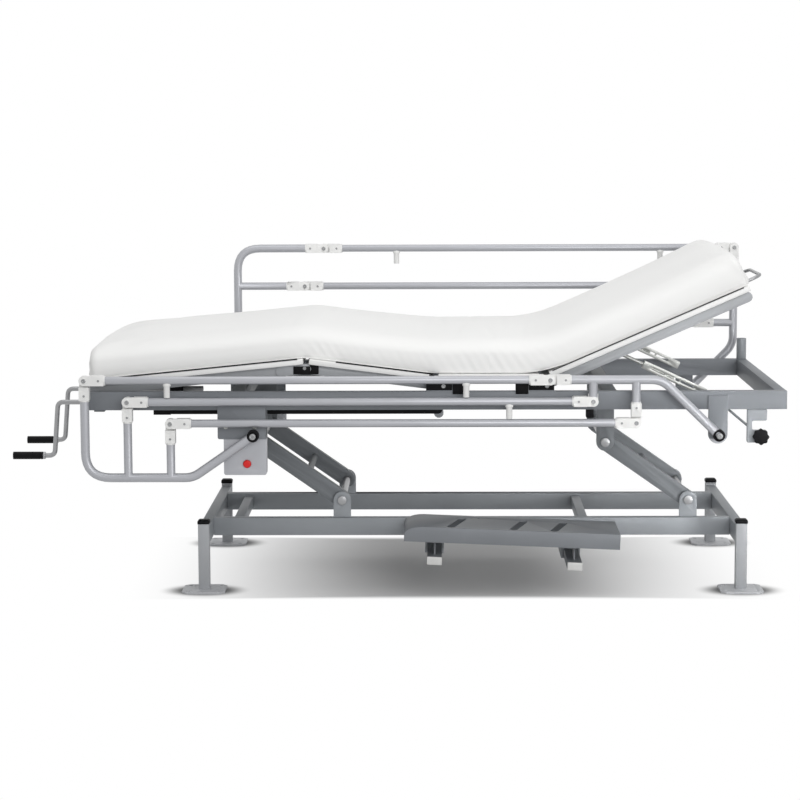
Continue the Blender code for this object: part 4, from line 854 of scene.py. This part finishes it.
def swell(obj, rings):
    """Lets the cover swell as cloth with its underside held, and keeps each point near its start."""
    size = len(rings[0][1])
    held = obj.vertex_groups.new(name="held")
    loose = obj.vertex_groups.new(name="loose")
    past_hem = [min(i, size - i) - ACROSS_HALF for i in range(size)]
    for r, (at, _) in enumerate(rings):
        held.add([r * size + i for i in range(size) if past_hem[i] <= 0], 1.0, "REPLACE")
        sides = [r * size + i for i in range(size) if 0 < past_hem[i] <= SIDE_STEPS]
        loose.add(sides, fold_strength(at), "REPLACE")
    start = [vertex.co.copy() for vertex in obj.data.vertices]
    pick(obj)
    modifier = obj.modifiers.new("cloth", "CLOTH")
    for key, value in CLOTH.items():
        setattr(modifier.settings, key, value)
    modifier.settings.effector_weights.gravity = 0
    modifier.collision_settings.use_collision = False
    modifier.point_cache.frame_start = 1
    modifier.point_cache.frame_end = CLOTH_FRAMES
    for number in range(1, CLOTH_FRAMES + 1):
        bpy.context.scene.frame_set(number)
    bpy.ops.object.modifier_apply(modifier=modifier.name)
    bpy.context.scene.frame_set(1)
    made = []
    for before, vertex in zip(start, obj.data.vertices):
        move = vertex.co - before
        move.length = min(move.length, SWELL_LIMIT)
        made.append(before + move)
    return made


class BED_OT_mattress(bpy.types.Operator):
    """One soft mattress in three stretches, shaped with soft bends over the hinges"""

    bl_idname = "bed.mattress"
    bl_label = "Mattress"

    def execute(self, context):
        rings = mattress_rings()
        size, count = len(rings[0][1]), len(rings)
        foot_points, head_points = end_points(rings[0][1]), end_points(rings[-1][1])
        whole = cover_object("mattress_whole", rings, foot_points, head_points)
        swollen = swell(whole, rings)
        bpy.data.objects.remove(whole, do_unlink=True)
        rings = [(at, swollen[r * size : (r + 1) * size]) for r, (at, _) in enumerate(rings)]
        foot_points = swollen[count * size : count * size + len(foot_points)]
        head_points = swollen[count * size + len(foot_points) :]
        rings = folded(rings)
        _, corners = mattress_line()
        mid_thigh = (corners[1].x + corners[2].x) / 2
        mid_seat = (corners[2].x + corners[3].x) / 2
        starts = [ring[0].x for _, ring in rings]
        first = min(range(len(starts)), key=lambda i: abs(starts[i] - mid_thigh))
        second = min(range(len(starts)), key=lambda i: abs(starts[i] - mid_seat))
        parts = (rings[: first + 1], rings[first : second + 1], rings[second:])
        for stretch, part, corner in zip(MATTRESS_STRETCHES, parts, corners[1:]):
            name, before, after, reach, nodes = stretch
            ends = foot_points if part[0] is rings[0] else (), head_points if part[-1] is rings[-1] else ()
            obj = cover_object(name, part, *ends)
            carry(obj, name, "coated_cloth", None, nodes)
            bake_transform(obj)
        return {"FINISHED"}


# Frame, platform, rails, cranks, fittings and step


class BED_OT_painted_frame(bpy.types.Operator):
    """Base, lift arms and bed frame with rounded tube edges and paint"""

    bl_idname = "bed.painted_frame"
    bl_label = "Painted frame"

    def execute(self, context):
        tube, plate = sizes().tube_edge, sizes().plate_edge
        # The base takes the darker base paint: painted shade under the bed
        dress_all(("base_end_tube_foot", "base_end_tube_head"), "base_paint", tube, 3)
        dress_all(("base_rail_near", "base_rail_far"), "base_paint", plate)
        dress_all(("base_cross_bar_foot", "base_cross_bar_head"), "base_paint", plate)
        for side, sign in SIDES:
            self.frame_rail(f"frame_rail_{side}", side, sign)
        # The head tube takes the darker frame paint: painted shade
        dressed("frame_head_tube", "frame_paint", plate)
        # Foot tube, cross bars and lift arms take the darker grey paint: painted shade
        dress_all(("frame_foot_tube", "frame_cross_bar_foot", "frame_cross_bar_head"), "grey_paint", plate)
        dress_all(("foot_lift_arm", "head_lift_arm"), "grey_paint", plate)
        dress_all(("knee_rod", "lift_rod"), "moulded_black", plate)
        dress_all(("lower_shaft_foot", "lower_shaft_head"), "turned_steel", plate)
        dress_all(("upper_shaft_foot", "upper_shaft_head"), "turned_steel", plate)
        return {"FINISHED"}

    def frame_rail(self, node, side, sign):
        """The long rail in the darker frame paint, which is painted shade, and under its bracket the lighter
        case of the release button.
        """
        seam = BRACKET_LOW_Z - 0.0005
        rail = sliced(node_copy(node), seam, True)
        case = sliced(node_copy(node), seam, False)
        round_edges(rail, sizes().plate_edge)
        carry(rail, f"{node}_skin", "frame_paint", "bed_frame", [node])
        round_edges(case, 0.0024, 3)
        carry(case, f"release_case_{side}", "rail_paint", "bed_frame")
        y, z = sign * BRACKET_FACE_Y, RAIL_FOOT[1] + BRACKET_BOLT_RISE
        heads = [domed_bolt((RAIL_FOOT[0] + x, y, z), sign, BRACKET_BOLT_RADIUS) for x in BRACKET_BOLTS]
        carry(joined(heads), f"bracket_bolts_{side}", "zinc_skin", "bed_frame")
        front = sign * (RAIL_PLANE_Y + FITTING_WIDE / 2 + PIVOT_PROUD)
        radius = PIVOT_HEAD_RADIUS + 0.0003
        pins = [domed_bolt((x, front, z), sign, radius, PIVOT_HEAD_TALL) for x, z in (RAIL_FOOT, RAIL_HEAD)]
        carry(joined(pins), f"pivot_bolts_{side}", "bolt_steel", "bed_frame")


class BED_OT_legs(bpy.types.Operator):
    """Legs on floor plates, with black caps pushed into their tops"""

    bl_idname = "bed.legs"
    bl_label = "Legs"

    def execute(self, context):
        seat = LEG_TOP_Z - LEG_CAP_TALL
        for end, x in LEG_PLACES.items():
            for side, sign in SIDES:
                node = f"leg_{end}_{side}"
                y = sign * LEG_Y
                foot = sliced(node_copy(node), LEG_PLATE_TOP_Z, False)
                leg = sliced(sliced(node_copy(node), LEG_PLATE_TOP_Z, True), seat, False)
                # The plates take the lighter plate paint: painted light
                round_edges(foot, sizes().plate_edge)
                carry(foot, f"{node}_plate", "plate_paint", "base")
                round_edges(leg, sizes().plate_edge)
                carry(leg, f"{node}_skin", "leg_paint", "base", [node])
                cap = self.cap(x, y, seat)
                carry(cap, f"{node}_cap", "moulded_black", "base")
        return {"FINISHED"}

    def cap(self, x, y, seat):
        half = LEG_SIDE / 2 + LEG_CAP_PROUD
        cap = block((x - half, y - half, seat), (x + half, y + half, LEG_TOP_Z - LEG_CAP_DOME))
        pick(cap)
        bpy.ops.object.mode_set(mode="EDIT")
        bpy.ops.mesh.select_all(action="DESELECT")
        bpy.ops.object.mode_set(mode="OBJECT")
        for face in cap.data.polygons:
            face.select = face.normal.z > 0.9
        bpy.ops.object.mode_set(mode="EDIT")
        bpy.ops.mesh.inset(thickness=LEG_CAP_INSET)
        bpy.ops.transform.translate(value=(0, 0, LEG_CAP_DOME))
        bpy.ops.object.mode_set(mode="OBJECT")
        return round_edges(cap, 0.0022, 3, 12)


class BED_OT_platform(bpy.types.Operator):
    """Section tubes, panels and the black buffers that they rest on"""

    bl_idname = "bed.platform"
    bl_label = "Platform"

    def execute(self, context):
        dress_all(("back_frame", "thigh_frame", "foot_frame"), "leg_paint", sizes().plate_edge)
        dress_all(("back_panel", "seat_panel", "thigh_panel", "foot_panel"), "panel_laminate", PANEL_EDGE, 3)
        for side, sign in SIDES:
            self.knee_cover(side, sign)
            self.bearings(side, sign)
            self.edge_strips(side, sign)
        return {"FINISHED"}

    def edge_strips(self, side, sign):
        """Thin dark strips along the panels' upper edges, on which the mattress lies: painted shade for the
        shadow gap between the mattress and the panels.
        """
        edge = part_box("seat_panel")[1].y
        width = (edge - 0.005, edge + 0.0006)
        for name, (x, z), angle, span, tall in SHADOW_GAP_STRIPS:
            strip = side_block(sign, span, width, (PANEL_TOP + 0.0002, PANEL_TOP + tall))
            round_edges(strip, 0.0004)
            strip.data.transform(Matrix.Translation((x, 0, z)) @ Matrix.Rotation(angle, 4, "Y"))
            # The black finish of the strips is painted shade
            carry(strip, f"edge_strip_{name}_{side}", "moulded_black", name)

    def knee_cover(self, side, sign):
        """Black covers over the gap between the thigh and foot tubes, one on each section."""
        x, z = KNEE
        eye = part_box("foot_frame")[1].y
        for body, start, end, top, face, thick in (
            ("foot", -0.035, 0.0125, 0.0075, eye + 0.0002, 0.0020),
            ("thigh", 0.002, 0.035, 0.011, SECTION_SIDE_Y + 0.0004, 0.0032),
        ):
            cover = side_block(sign, (x + start, x + end), (face, face + thick), (z - 0.0150, z + top))
            round_edges(cover, 0.0008)
            carry(cover, f"knee_cover_{body}_{side}", "moulded_black", body)
        bolt = domed_bolt((x - 0.004, sign * (eye + 0.0020), z + 0.002), sign, 0.0048, 0.0020)
        carry(bolt, f"knee_bolt_{side}", "bolt_steel", "foot")

    def bearings(self, side, sign):
        """Black buffers and hinge plates on the seat's bearers."""
        face = FRAME_SIDE_Y - 0.0005
        pieces = []
        for span, height, proud in BEARINGS:
            pieces.append(round_edges(side_block(sign, span, (face, face + proud), height), 0.0012))
        carry(joined(pieces), f"seat_bearings_{side}", "moulded_black", "bed_frame")
        y = sign * (face + HINGE_PLATE_PROUD)
        bolts = [domed_bolt((x, y, SECTION_AXIS_Z), sign, 0.0060, 0.0022) for x in BEARING_BOLTS]
        carry(joined(bolts), f"bearing_bolts_{side}", "bolt_steel", "bed_frame")
        stop = side_block(sign, RAIL_STOP, (FRAME_SIDE_Y - 0.026, FRAME_SIDE_Y - 0.004), RAIL_STOP_HEIGHT)
        round_edges(stop, 0.0030, 3)
        carry(stop, f"rail_stop_{side}", "moulded_black", "bed_frame")


class BED_OT_side_rails(bpy.types.Operator):
    """Round rails with white hinge fittings, pegs, pivot rings and bolts"""

    bl_idname = "bed.side_rails"
    bl_label = "Side rails"

    def execute(self, context):
        self.fitting = self.fitting_master(True)
        self.knuckle = self.fitting_master(False)
        self.bolt = self.bolt_master(*BOLT_HEAD)
        self.screw = self.bolt_master(*SCREW_HEAD)
        self.ring = self.ring_master()
        for side, sign in SIDES:
            self.side(side, sign, side == "far")
        for master in (self.fitting, self.knuckle, self.bolt, self.screw, self.ring):
            bpy.data.objects.remove(master, do_unlink=True)
        return {"FINISHED"}

    def fitting_master(self, boxed):
        """Half of a hinge fitting: a disc on the +Y half and a sleeve along +X."""
        half = FITTING_WIDE / 2
        disc = drum((0, 0.0003, 0), (0, half, 0), KNUCKLE_RADIUS, 36)
        tall = KNUCKLE_RADIUS - 0.0004
        neck = block((0, 0.0003, -tall), (FITTING_START + 0.002, half, tall))
        made = unite(disc, neck)
        if boxed:
            side = FITTING_TALL / 2
            sleeve = block((FITTING_START, -half, -side), (FITTING_END - 0.004, half, side))
            collar = drum((FITTING_END - 0.010, 0, 0), (FITTING_END, 0, 0), FITTING_COLLAR_RADIUS, 36)
            made = unite(made, sleeve, collar)
        return round_edges(made, sizes().fitting_edge if boxed else 0.002, 3)

    def bolt_master(self, radius, tall):
        """A low round head on -Y with a hexagon socket, its seat at Y 0."""
        head = drum((0, 0.001, 0), (0, -tall, 0), radius, 24)
        socket = drum((0, -tall * 0.35, 0), (0, -tall * 2, 0), radius * 0.48, 6)
        head = cut(head, socket)
        return round_edges(head, tall * 0.3, 2)

    def ring_master(self):
        half = FITTING_WIDE / 2
        ring = drum((0, -half, 0), (0, half, 0), BOSS_RADIUS, 40)
        radius = BOSS_RADIUS * BOSS_HOLLOW_SHARE
        hollow = drum((0, -half - 0.01, 0), (0, -half + BOSS_HOLLOW_DEPTH, 0), radius, 40)
        other = drum((0, half - BOSS_HOLLOW_DEPTH, 0), (0, half + 0.01, 0), radius, 40)
        return round_edges(cut(ring, hollow, other), 0.0022, 3)

    def side(self, side, sign, raised):
        y = sign * RAIL_PLANE_Y
        quarter = math.pi / 2 if raised else 0.0
        for end, pivot in (("foot", RAIL_FOOT), ("head", RAIL_HEAD)):
            home = Matrix.Translation((pivot[0], y, pivot[1])) @ Matrix.Rotation(quarter, 4, "Y")
            self.end_frame(end, side, -sign, home)
        for label, point in zip(FOLD_NAMES, FOLD_POINTS):
            x, z = (point[1], -point[0]) if raised else point
            home = Matrix.Translation((RAIL_FOOT[0] + x, y, RAIL_FOOT[1] + z))
            self.bar(label, side, sign, home)

    def fitting_at(self, home, point, direction, half, boxed):
        turn = Matrix.Rotation(math.atan2(-direction[1], direction[0]), 4, "Y")
        flip = Matrix.Identity(4) if half > 0 else Matrix.Rotation(math.pi, 4, "X")
        master = self.fitting if boxed else self.knuckle
        return placed_copy(master, home @ Matrix.Translation((point[0], 0, point[1])) @ turn @ flip)

    def head_at(self, home, x, z, sign, master):
        """A bolt or screw head on the face that looks outward."""
        flip = Matrix.Identity(4) if sign < 0 else Matrix.Rotation(math.pi, 4, "Z")
        return placed_copy(master, home @ Matrix.Translation((x, sign * FITTING_WIDE / 2, z)) @ flip)

    def end_frame(self, end, side, inner, home):
        node = f"rail_{end}_frame_{side}"
        top = FOLD_POINTS[0]
        fittings, heads = [], []
        if end == "foot":
            path = [(top[0], 0, top[1] - TUBE_INSET), (top[0], 0, -END_DROP)]
            path += [(-END_KNEE, 0, -END_DROP), (0, 0, 0)]
            posts = [((x, 0, z - TUBE_INSET), (x, 0, -END_DROP)) for x, z in FOLD_POINTS[1:]]
            knuckles = [(point, (0, -1), True) for point in FOLD_POINTS]
        else:
            path = [(top[0] + TUBE_INSET, 0, top[1]), (-HEAD_KNEE, 0, top[1]), (0, 0, 0)]
            posts = [((x, 0, z + lift), (x, 0, top[1])) for (x, z), lift in zip(FOLD_POINTS[1:], POST_LIFTS)]
            knuckles = [(top, (1, 0), True), (FOLD_POINTS[1], (0, 1), False), (FOLD_POINTS[2], (0, 1), True)]
        tube = bent_tube(fillet(path, END_BEND), END_RADIUS)
        for start, stop in posts:
            tube = unite(tube, drum(start, stop, POST_RADIUS))
        smoothed(tube, TUBE_SMOOTH).data.transform(home)
        carry(tube, f"{node}_tube", "rail_paint", BODY_OF[node], [node])
        for point, direction, boxed in knuckles:
            fittings.append(self.fitting_at(home, point, direction, inner, boxed))
            if boxed:
                x, z = point[0] + direction[0] * SCREW_REACH, point[1] + direction[1] * SCREW_REACH
                heads += [self.head_at(home, x, z, face, self.screw) for face in (-1, 1)]
            heads.append(self.head_at(home, point[0], point[1], inner, self.bolt))
        carry(joined(fittings), f"{node}_fittings", "white_plastic", BODY_OF[node])
        ring = placed_copy(self.ring, home)
        carry(ring, f"{node}_pivot_ring", "moulded_black", BODY_OF[node])
        carry(joined(heads), f"{node}_screws", "bolt_steel", BODY_OF[node])

    def bar(self, label, side, sign, home):
        node = f"rail_{label}_bar_{side}"
        body = BODY_OF[node]
        tube = drum((TUBE_INSET, 0, 0), (RAIL_SPAN - TUBE_INSET, 0, 0), BAR_RADIUS)
        round_edges(tube, 0.001)
        tube.data.transform(home)
        carry(tube, f"{node}_tube", "rail_paint", body, [node])
        ends = ((0.0, 1), (RAIL_SPAN, -1))
        fittings = [self.fitting_at(home, (x, 0), (way, 0), sign, True) for x, way in ends]
        carry(joined(fittings), f"{node}_fittings", "white_plastic", body)
        bolts = [self.head_at(home, x, 0, sign, self.bolt) for x, _ in ends]
        for face in (-1, 1):
            bolts += [self.head_at(home, x + way * BAR_SCREW_REACH, 0, face, self.screw) for x, way in ends]
        carry(joined(bolts), f"{node}_bolts", "bolt_steel", body)
        if label in SPACERS:
            pegs = joined([self.peg(place) for place in SPACERS[label]])
            pegs.data.transform(home)
            carry(pegs, f"{node}_pegs", "white_plastic", body)

    def peg(self, x):
        """A spacer under a bar: a round stem with a flange against the bar."""
        flange_ends = [(x, 0, z) for z in SPACER_FLANGE]
        flange = drum(*flange_ends, SPACER_RADIUS + SPACER_FLANGE_PROUD, 36)
        stem = drum((x, 0, -SPACER_DROP), (x, 0, SPACER_TOP), SPACER_RADIUS, 36)
        return round_edges(unite(flange, stem), 0.0014, 2)


class BED_OT_cranks(bpy.types.Operator):
    """Bent crank rods with their screws and black grips"""

    bl_idname = "bed.cranks"
    bl_label = "Cranks"

    def execute(self, context):
        for name, sign, grip_body in (("knee_crank", -1, "knee_grip"), ("lift_crank", 1, "lift_grip")):
            home = Matrix.Translation((FOOT_X, sign * CRANK_Y, CRANK_Z))
            neck, reach = CRANK_NECKS[name], CRANK_REACHES[name]
            grip_face = GRIP_LENGTH - reach
            path = [(CRANK_START, 0, 0), (-neck, 0, 0)]
            path += [(x, 0, -CRANK_THROW) for x in (-neck - CRANK_ARM_LEAN, CRANK_END - reach)]
            handle = bent_tube(fillet(path, CRANK_BEND), CRANK_RADIUS)
            collars = [drum((a, 0, 0), (b, 0, 0), CRANK_COLLAR_RADIUS, 36) for a, b in CRANK_COLLARS]
            stop_ends = [(grip_face + x, 0, -CRANK_THROW) for x in GRIP_STOP]
            stop = drum(*stop_ends, GRIP_RADIUS - 0.0004, 32)
            for piece in (*collars, stop):
                round_edges(piece, 0.0016, 2)
            rod = joined([handle, *collars, stop])
            rod.data.transform(home)
            carry(rod, f"{name}_rod", "turned_steel", name, [name])
            screw = drum((SCREW_START, 0, 0), (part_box(name)[1].x - FOOT_X, 0, 0), SCREW_RADIUS)
            round_edges(screw, 0.002, 2)
            screw.data.transform(home)
            carry(screw, f"{name}_screw", "threaded_steel", name)
            grip = self.grip()
            grip.data.transform(home @ Matrix.Translation((grip_face, 0, -CRANK_THROW)))
            carry(grip, f"{name}_grip_sleeve", "moulded_black", grip_body, [f"{name}_grip"])
        return {"FINISHED"}

    def grip(self):
        """A sleeve with a groove and rounded ends, from its inner face at X 0."""
        grip = drum((-GRIP_LENGTH, 0, 0), (0, 0, 0), GRIP_RADIUS, 36)
        groove_ends = [(x, 0, 0) for x in GRIP_GROOVE]
        groove = drum(*groove_ends, GRIP_RADIUS + 0.004, 36)
        core = drum((-0.009, 0, 0), (-0.005, 0, 0), GRIP_RADIUS - GRIP_GROOVE_DEPTH, 36)
        grip = cut(grip, cut(groove, core))
        return round_edges(grip, 0.0034, 4)


class BED_OT_fine_steel(bpy.types.Operator):
    """Stays, backrest handle, pole socket and accessory clamp"""

    bl_idname = "bed.fine_steel"
    bl_label = "Stays, handle and clamp"

    def execute(self, context):
        for side, _ in SIDES:
            dressed(f"stay_rod_{side}", "zinc_skin", 0.0008)
            dressed(f"stay_channel_{side}", "zinc_skin", 0.0010)
        dressed("back_handle", "turned_steel", 0.0006)
        # Pole socket and clamp take the darker base paint, a painted shade copy of the silver paint
        dressed("pole_socket", "base_paint", 0.0008)
        dressed("clamp_bracket", "base_paint", 0.0015)
        dressed("clamp_screw", "moulded_black", 0.0022, 3)
        self.clamp_brace()
        return {"FINISHED"}

    def clamp_brace(self):
        """A thin brace from the rail's underside to the clamp."""
        low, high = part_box("clamp_bracket")
        y = (low.y + high.y) / 2
        top = (low.x - CLAMP_BRACE[0], y, high.z + 0.0005)
        brace = drum(top, (low.x + 0.0005, y, high.z - CLAMP_BRACE[1]), CLAMP_BRACE_RADIUS, 16)
        carry(brace, "clamp_brace", "grey_paint", "bed_frame")


class BED_OT_release_buttons(bpy.types.Operator):
    """Red domed buttons that free the side rails"""

    bl_idname = "bed.release_buttons"
    bl_label = "Release buttons"

    def execute(self, context):
        for side, sign in SIDES:
            node = f"release_button_{side}"
            low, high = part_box(node)
            x, z = (low.x + high.x) / 2, (low.z + high.z) / 2
            front, back = (low.y, high.y) if sign < 0 else (high.y, low.y)
            button = drum((x, back, z), (x, front, z), (high.x - low.x) / 2, 40)
            round_edges(button, 0.0036, 5)
            carry(button, f"{node}_cap", "button_red", BODY_OF[node], [node])
        return {"FINISHED"}


class BED_OT_step(bpy.types.Operator):
    """Folded step tray on its slides, with white plugs in the slides' ends"""

    bl_idname = "bed.step"
    bl_label = "Step"

    def execute(self, context):
        dressed("step_tray", "step_paint", 0.0010)
        x, z = STEP_MIDDLE
        lean = Matrix.Translation((x, 0, z)) @ Matrix.Rotation(STEP_LEAN, 4, "Y")
        for label, slide in zip(("foot", "head"), STEP_SLIDES):
            plug = self.plug(slide - x)
            plug.data.transform(lean)
            carry(plug, f"step_slide_plug_{label}", "plug_plastic", "step")
        return {"FINISHED"}

    def plug(self, x):
        """A white plug with a thin flange over the end of a slide."""
        half, tall = STEP_SLIDE_WIDE / 2, STEP_SLIDE_TALL / 2
        flange = block(
            (x - half - 0.0008, STEP_SLIDE_FRONT_Y - 0.0035, -tall - 0.0008),
            (x + half + 0.0008, STEP_SLIDE_FRONT_Y + 0.0003, tall + 0.0008),
        )
        return round_edges(flange, 0.0018, 3)


# Studio

WHITE = (1, 1, 1, 1)
SURROUND_LIGHT = 0.56
# Name, place, target, width, height, power, and spread in degrees
SOFTBOXES = (
    ("top_softbox", (0.1, -0.4, 3.6), (0.1, 0.0, 0.5), 4.0, 2.6, 33, 180),
    ("front_softbox", (1.8, -4.3, 1.8), (0.1, 0.0, 0.55), 3.2, 2.4, 74, 180),
    ("head_softbox", (2.0, -1.9, 0.32), (1.05, -0.45, 0.36), 0.5, 0.3, 0.5, 28),
)
CAMERA_PLACE = (0.1343, -7.03, 1.3261)
CAMERA_TURN = (83.25, 0.209, 0.829)  # degrees
CAMERA_LENS = 108.19
CAMERA_SENSOR = 36
FLOOR_SIZE = 60
# Middle of the floor's shadow, and the distances from it between which the floor turns white
FLOOR_FADE_X = (0.19, 0.12, 0.95)
FLOOR_FADE_Y = (-0.01, 0.44, 0.50)
# Reach and fade of the shadow painted into the floor's colour round each leg's plate
PAINTED_SHADOW_REACH = {"X": 0.135, "Y": 0.105}
PAINTED_SHADOW_FADE = {"From Min": 0.45, "From Max": 1.0, "To Min": 0.10}


def softbox(name, place, target, wide, tall, power, spread):
    deselect()
    bpy.ops.object.light_add(type="AREA", location=place)
    lamp = bpy.context.object
    lamp.name = name
    lamp.data.shape = "RECTANGLE"
    lamp.data.size = wide
    lamp.data.size_y = tall
    lamp.data.energy = power
    lamp.data.spread = math.radians(spread)
    lamp.rotation_euler = (Vector(target) - lamp.location).to_track_quat("-Z", "Y").to_euler()


class BED_OT_stage(bpy.types.Operator):
    """White floor and surround, soft lamps and the camera"""

    bl_idname = "bed.stage"
    bl_label = "Studio"

    def execute(self, context):
        scene = context.scene
        scene.view_settings.view_transform = "Standard"
        self.surround(scene)
        self.floor()
        for lamp in SOFTBOXES:
            softbox(*lamp)
        deselect()
        turn = [math.radians(angle) for angle in CAMERA_TURN]
        bpy.ops.object.camera_add(location=CAMERA_PLACE, rotation=turn)
        camera = context.object
        camera.data.sensor_width = CAMERA_SENSOR
        camera.data.lens = CAMERA_LENS
        scene.camera = camera
        return {"FINISHED"}

    def seen_directly(self, tree):
        """1 for what the camera sees, also in metal and glass."""
        rays = add(tree, "LightPath").outputs
        seen = calc(tree, "MAXIMUM", rays["Is Camera Ray"], rays["Is Glossy Ray"])
        return calc(tree, "MAXIMUM", seen, rays["Is Transmission Ray"])

    def surround(self, scene):
        scene.world = bpy.data.worlds.new("white_surround")
        scene.world.use_nodes = True
        tree = scene.world.node_tree
        light = tree.nodes["Background"]
        feed(tree, light, {"Color": WHITE, "Strength": SURROUND_LIGHT})
        seen = add(tree, "Background", {"Color": WHITE, "Strength": 1.0})
        share = self.seen_directly(tree)
        mixed = {"Fac": share, 1: light.outputs["Background"], 2: seen.outputs["Background"]}
        mix = add(tree, "MixShader", mixed)
        feed(tree, tree.nodes["World Output"], {"Surface": mix.outputs["Shader"]})

    def fade_from(self, tree, value, middle, start, end):
        """0 near a middle, rising to 1 between two distances from it."""
        away = calc(tree, "ABSOLUTE", calc(tree, "SUBTRACT", value, middle))
        return smooth_step(tree, {"Value": away, "From Min": start, "From Max": end})

    def painted_plate_shadow(self, tree, axes):
        """Near 0 on the floor round each leg's plate and 1 away from the plates: it lets the real shading show
        there and paints a shadow into the floor's colour.
        """
        foot, head = LEG_PLACES["foot"], LEG_PLACES["head"]
        offsets = {"X": ((foot + head) / 2, (head - foot) / 2), "Y": (0.0, LEG_Y)}
        shares = {}
        for axis, reach in PAINTED_SHADOW_REACH.items():
            value = axes[axis]
            for offset in offsets[axis]:
                value = calc(tree, "ABSOLUTE", calc(tree, "SUBTRACT", value, offset))
            shares[axis] = calc(tree, "DIVIDE", value, reach)
        place = add(tree, "CombineXYZ", shares).outputs["Vector"]
        away = add(tree, "VectorMath", {0: place}, operation="LENGTH").outputs["Value"]
        return smooth_step(tree, {"Value": away, **PAINTED_SHADOW_FADE})

    def floor(self):
        """A floor that is grey under the bed, darkest round the legs' plates, where real shading shows and a
        shadow is painted into its colour, and white further out.
        """
        deselect()
        bpy.ops.mesh.primitive_plane_add(size=FLOOR_SIZE, location=(0, 0, 0))
        floor = bpy.context.object
        floor.name = "studio_floor"
        made = finish("studio_floor")
        floor.data.materials.append(made)
        tree = made.node_tree
        shader = tree.nodes["Principled BSDF"]
        axes = add(tree, "SeparateXYZ", {"Vector": add(tree, "TexCoord").outputs["Object"]}).outputs
        lengthways = self.fade_from(tree, axes["X"], *FLOOR_FADE_X)
        across = self.fade_from(tree, axes["Y"], *FLOOR_FADE_Y)
        light = self.painted_plate_shadow(tree, axes)
        lit = calc(tree, "MULTIPLY", calc(tree, "MAXIMUM", lengthways, across), light)
        share = calc(tree, "MULTIPLY", self.seen_directly(tree), lit)
        # The floor's colour is scaled down round the plates: a painted shadow
        tone = shader.inputs["Base Color"].links[0].from_socket
        painted_shadow_tone = add(tree, "VectorMath", {0: tone, "Scale": light}, operation="SCALE")
        feed(tree, shader, {"Base Color": painted_shadow_tone.outputs["Vector"]})
        glow = add(tree, "Emission", {"Color": WHITE})
        mix = add(tree, "MixShader", {"Fac": share, 1: shader.outputs["BSDF"], 2: glow.outputs["Emission"]})
        feed(tree, tree.nodes["Material Output"], {"Surface": mix.outputs["Shader"]})


class BED_PT_panel(bpy.types.Panel):
    """Lists the pieces of the bed"""

    bl_idname = "BED_PT_panel"
    bl_label = "Hospital bed"
    bl_space_type = "VIEW_3D"
    bl_region_type = "UI"
    bl_category = "Bed"

    def draw(self, context):
        for operator in OPERATORS:
            self.layout.operator(operator.bl_idname)
        for group in (context.scene.bed_sizes, context.scene.bed_colours):
            for name in group.__annotations__:
                self.layout.prop(group, name)


OPERATORS = (
    BED_OT_stage,
    BED_OT_painted_frame,
    BED_OT_legs,
    BED_OT_platform,
    BED_OT_side_rails,
    BED_OT_cranks,
    BED_OT_fine_steel,
    BED_OT_release_buttons,
    BED_OT_step,
    BED_OT_mattress,
)
CLASSES = (BedSizes, BedColours, *OPERATORS, BED_PT_panel)


def register():
    for cls in CLASSES:
        bpy.utils.register_class(cls)
    bpy.types.Scene.bed_sizes = bpy.props.PointerProperty(type=BedSizes)
    bpy.types.Scene.bed_colours = bpy.props.PointerProperty(type=BedColours)


def unregister():
    del bpy.types.Scene.bed_colours
    del bpy.types.Scene.bed_sizes
    for cls in reversed(CLASSES):
        bpy.utils.unregister_class(cls)


def main():
    register()
    bpy.ops.bed.stage()
    bpy.ops.bed.painted_frame()
    bpy.ops.bed.legs()
    bpy.ops.bed.platform()
    bpy.ops.bed.side_rails()
    bpy.ops.bed.cranks()
    bpy.ops.bed.fine_steel()
    bpy.ops.bed.release_buttons()
    bpy.ops.bed.step()
    bpy.ops.bed.mattress()


if __name__ == "__main__":
    main()
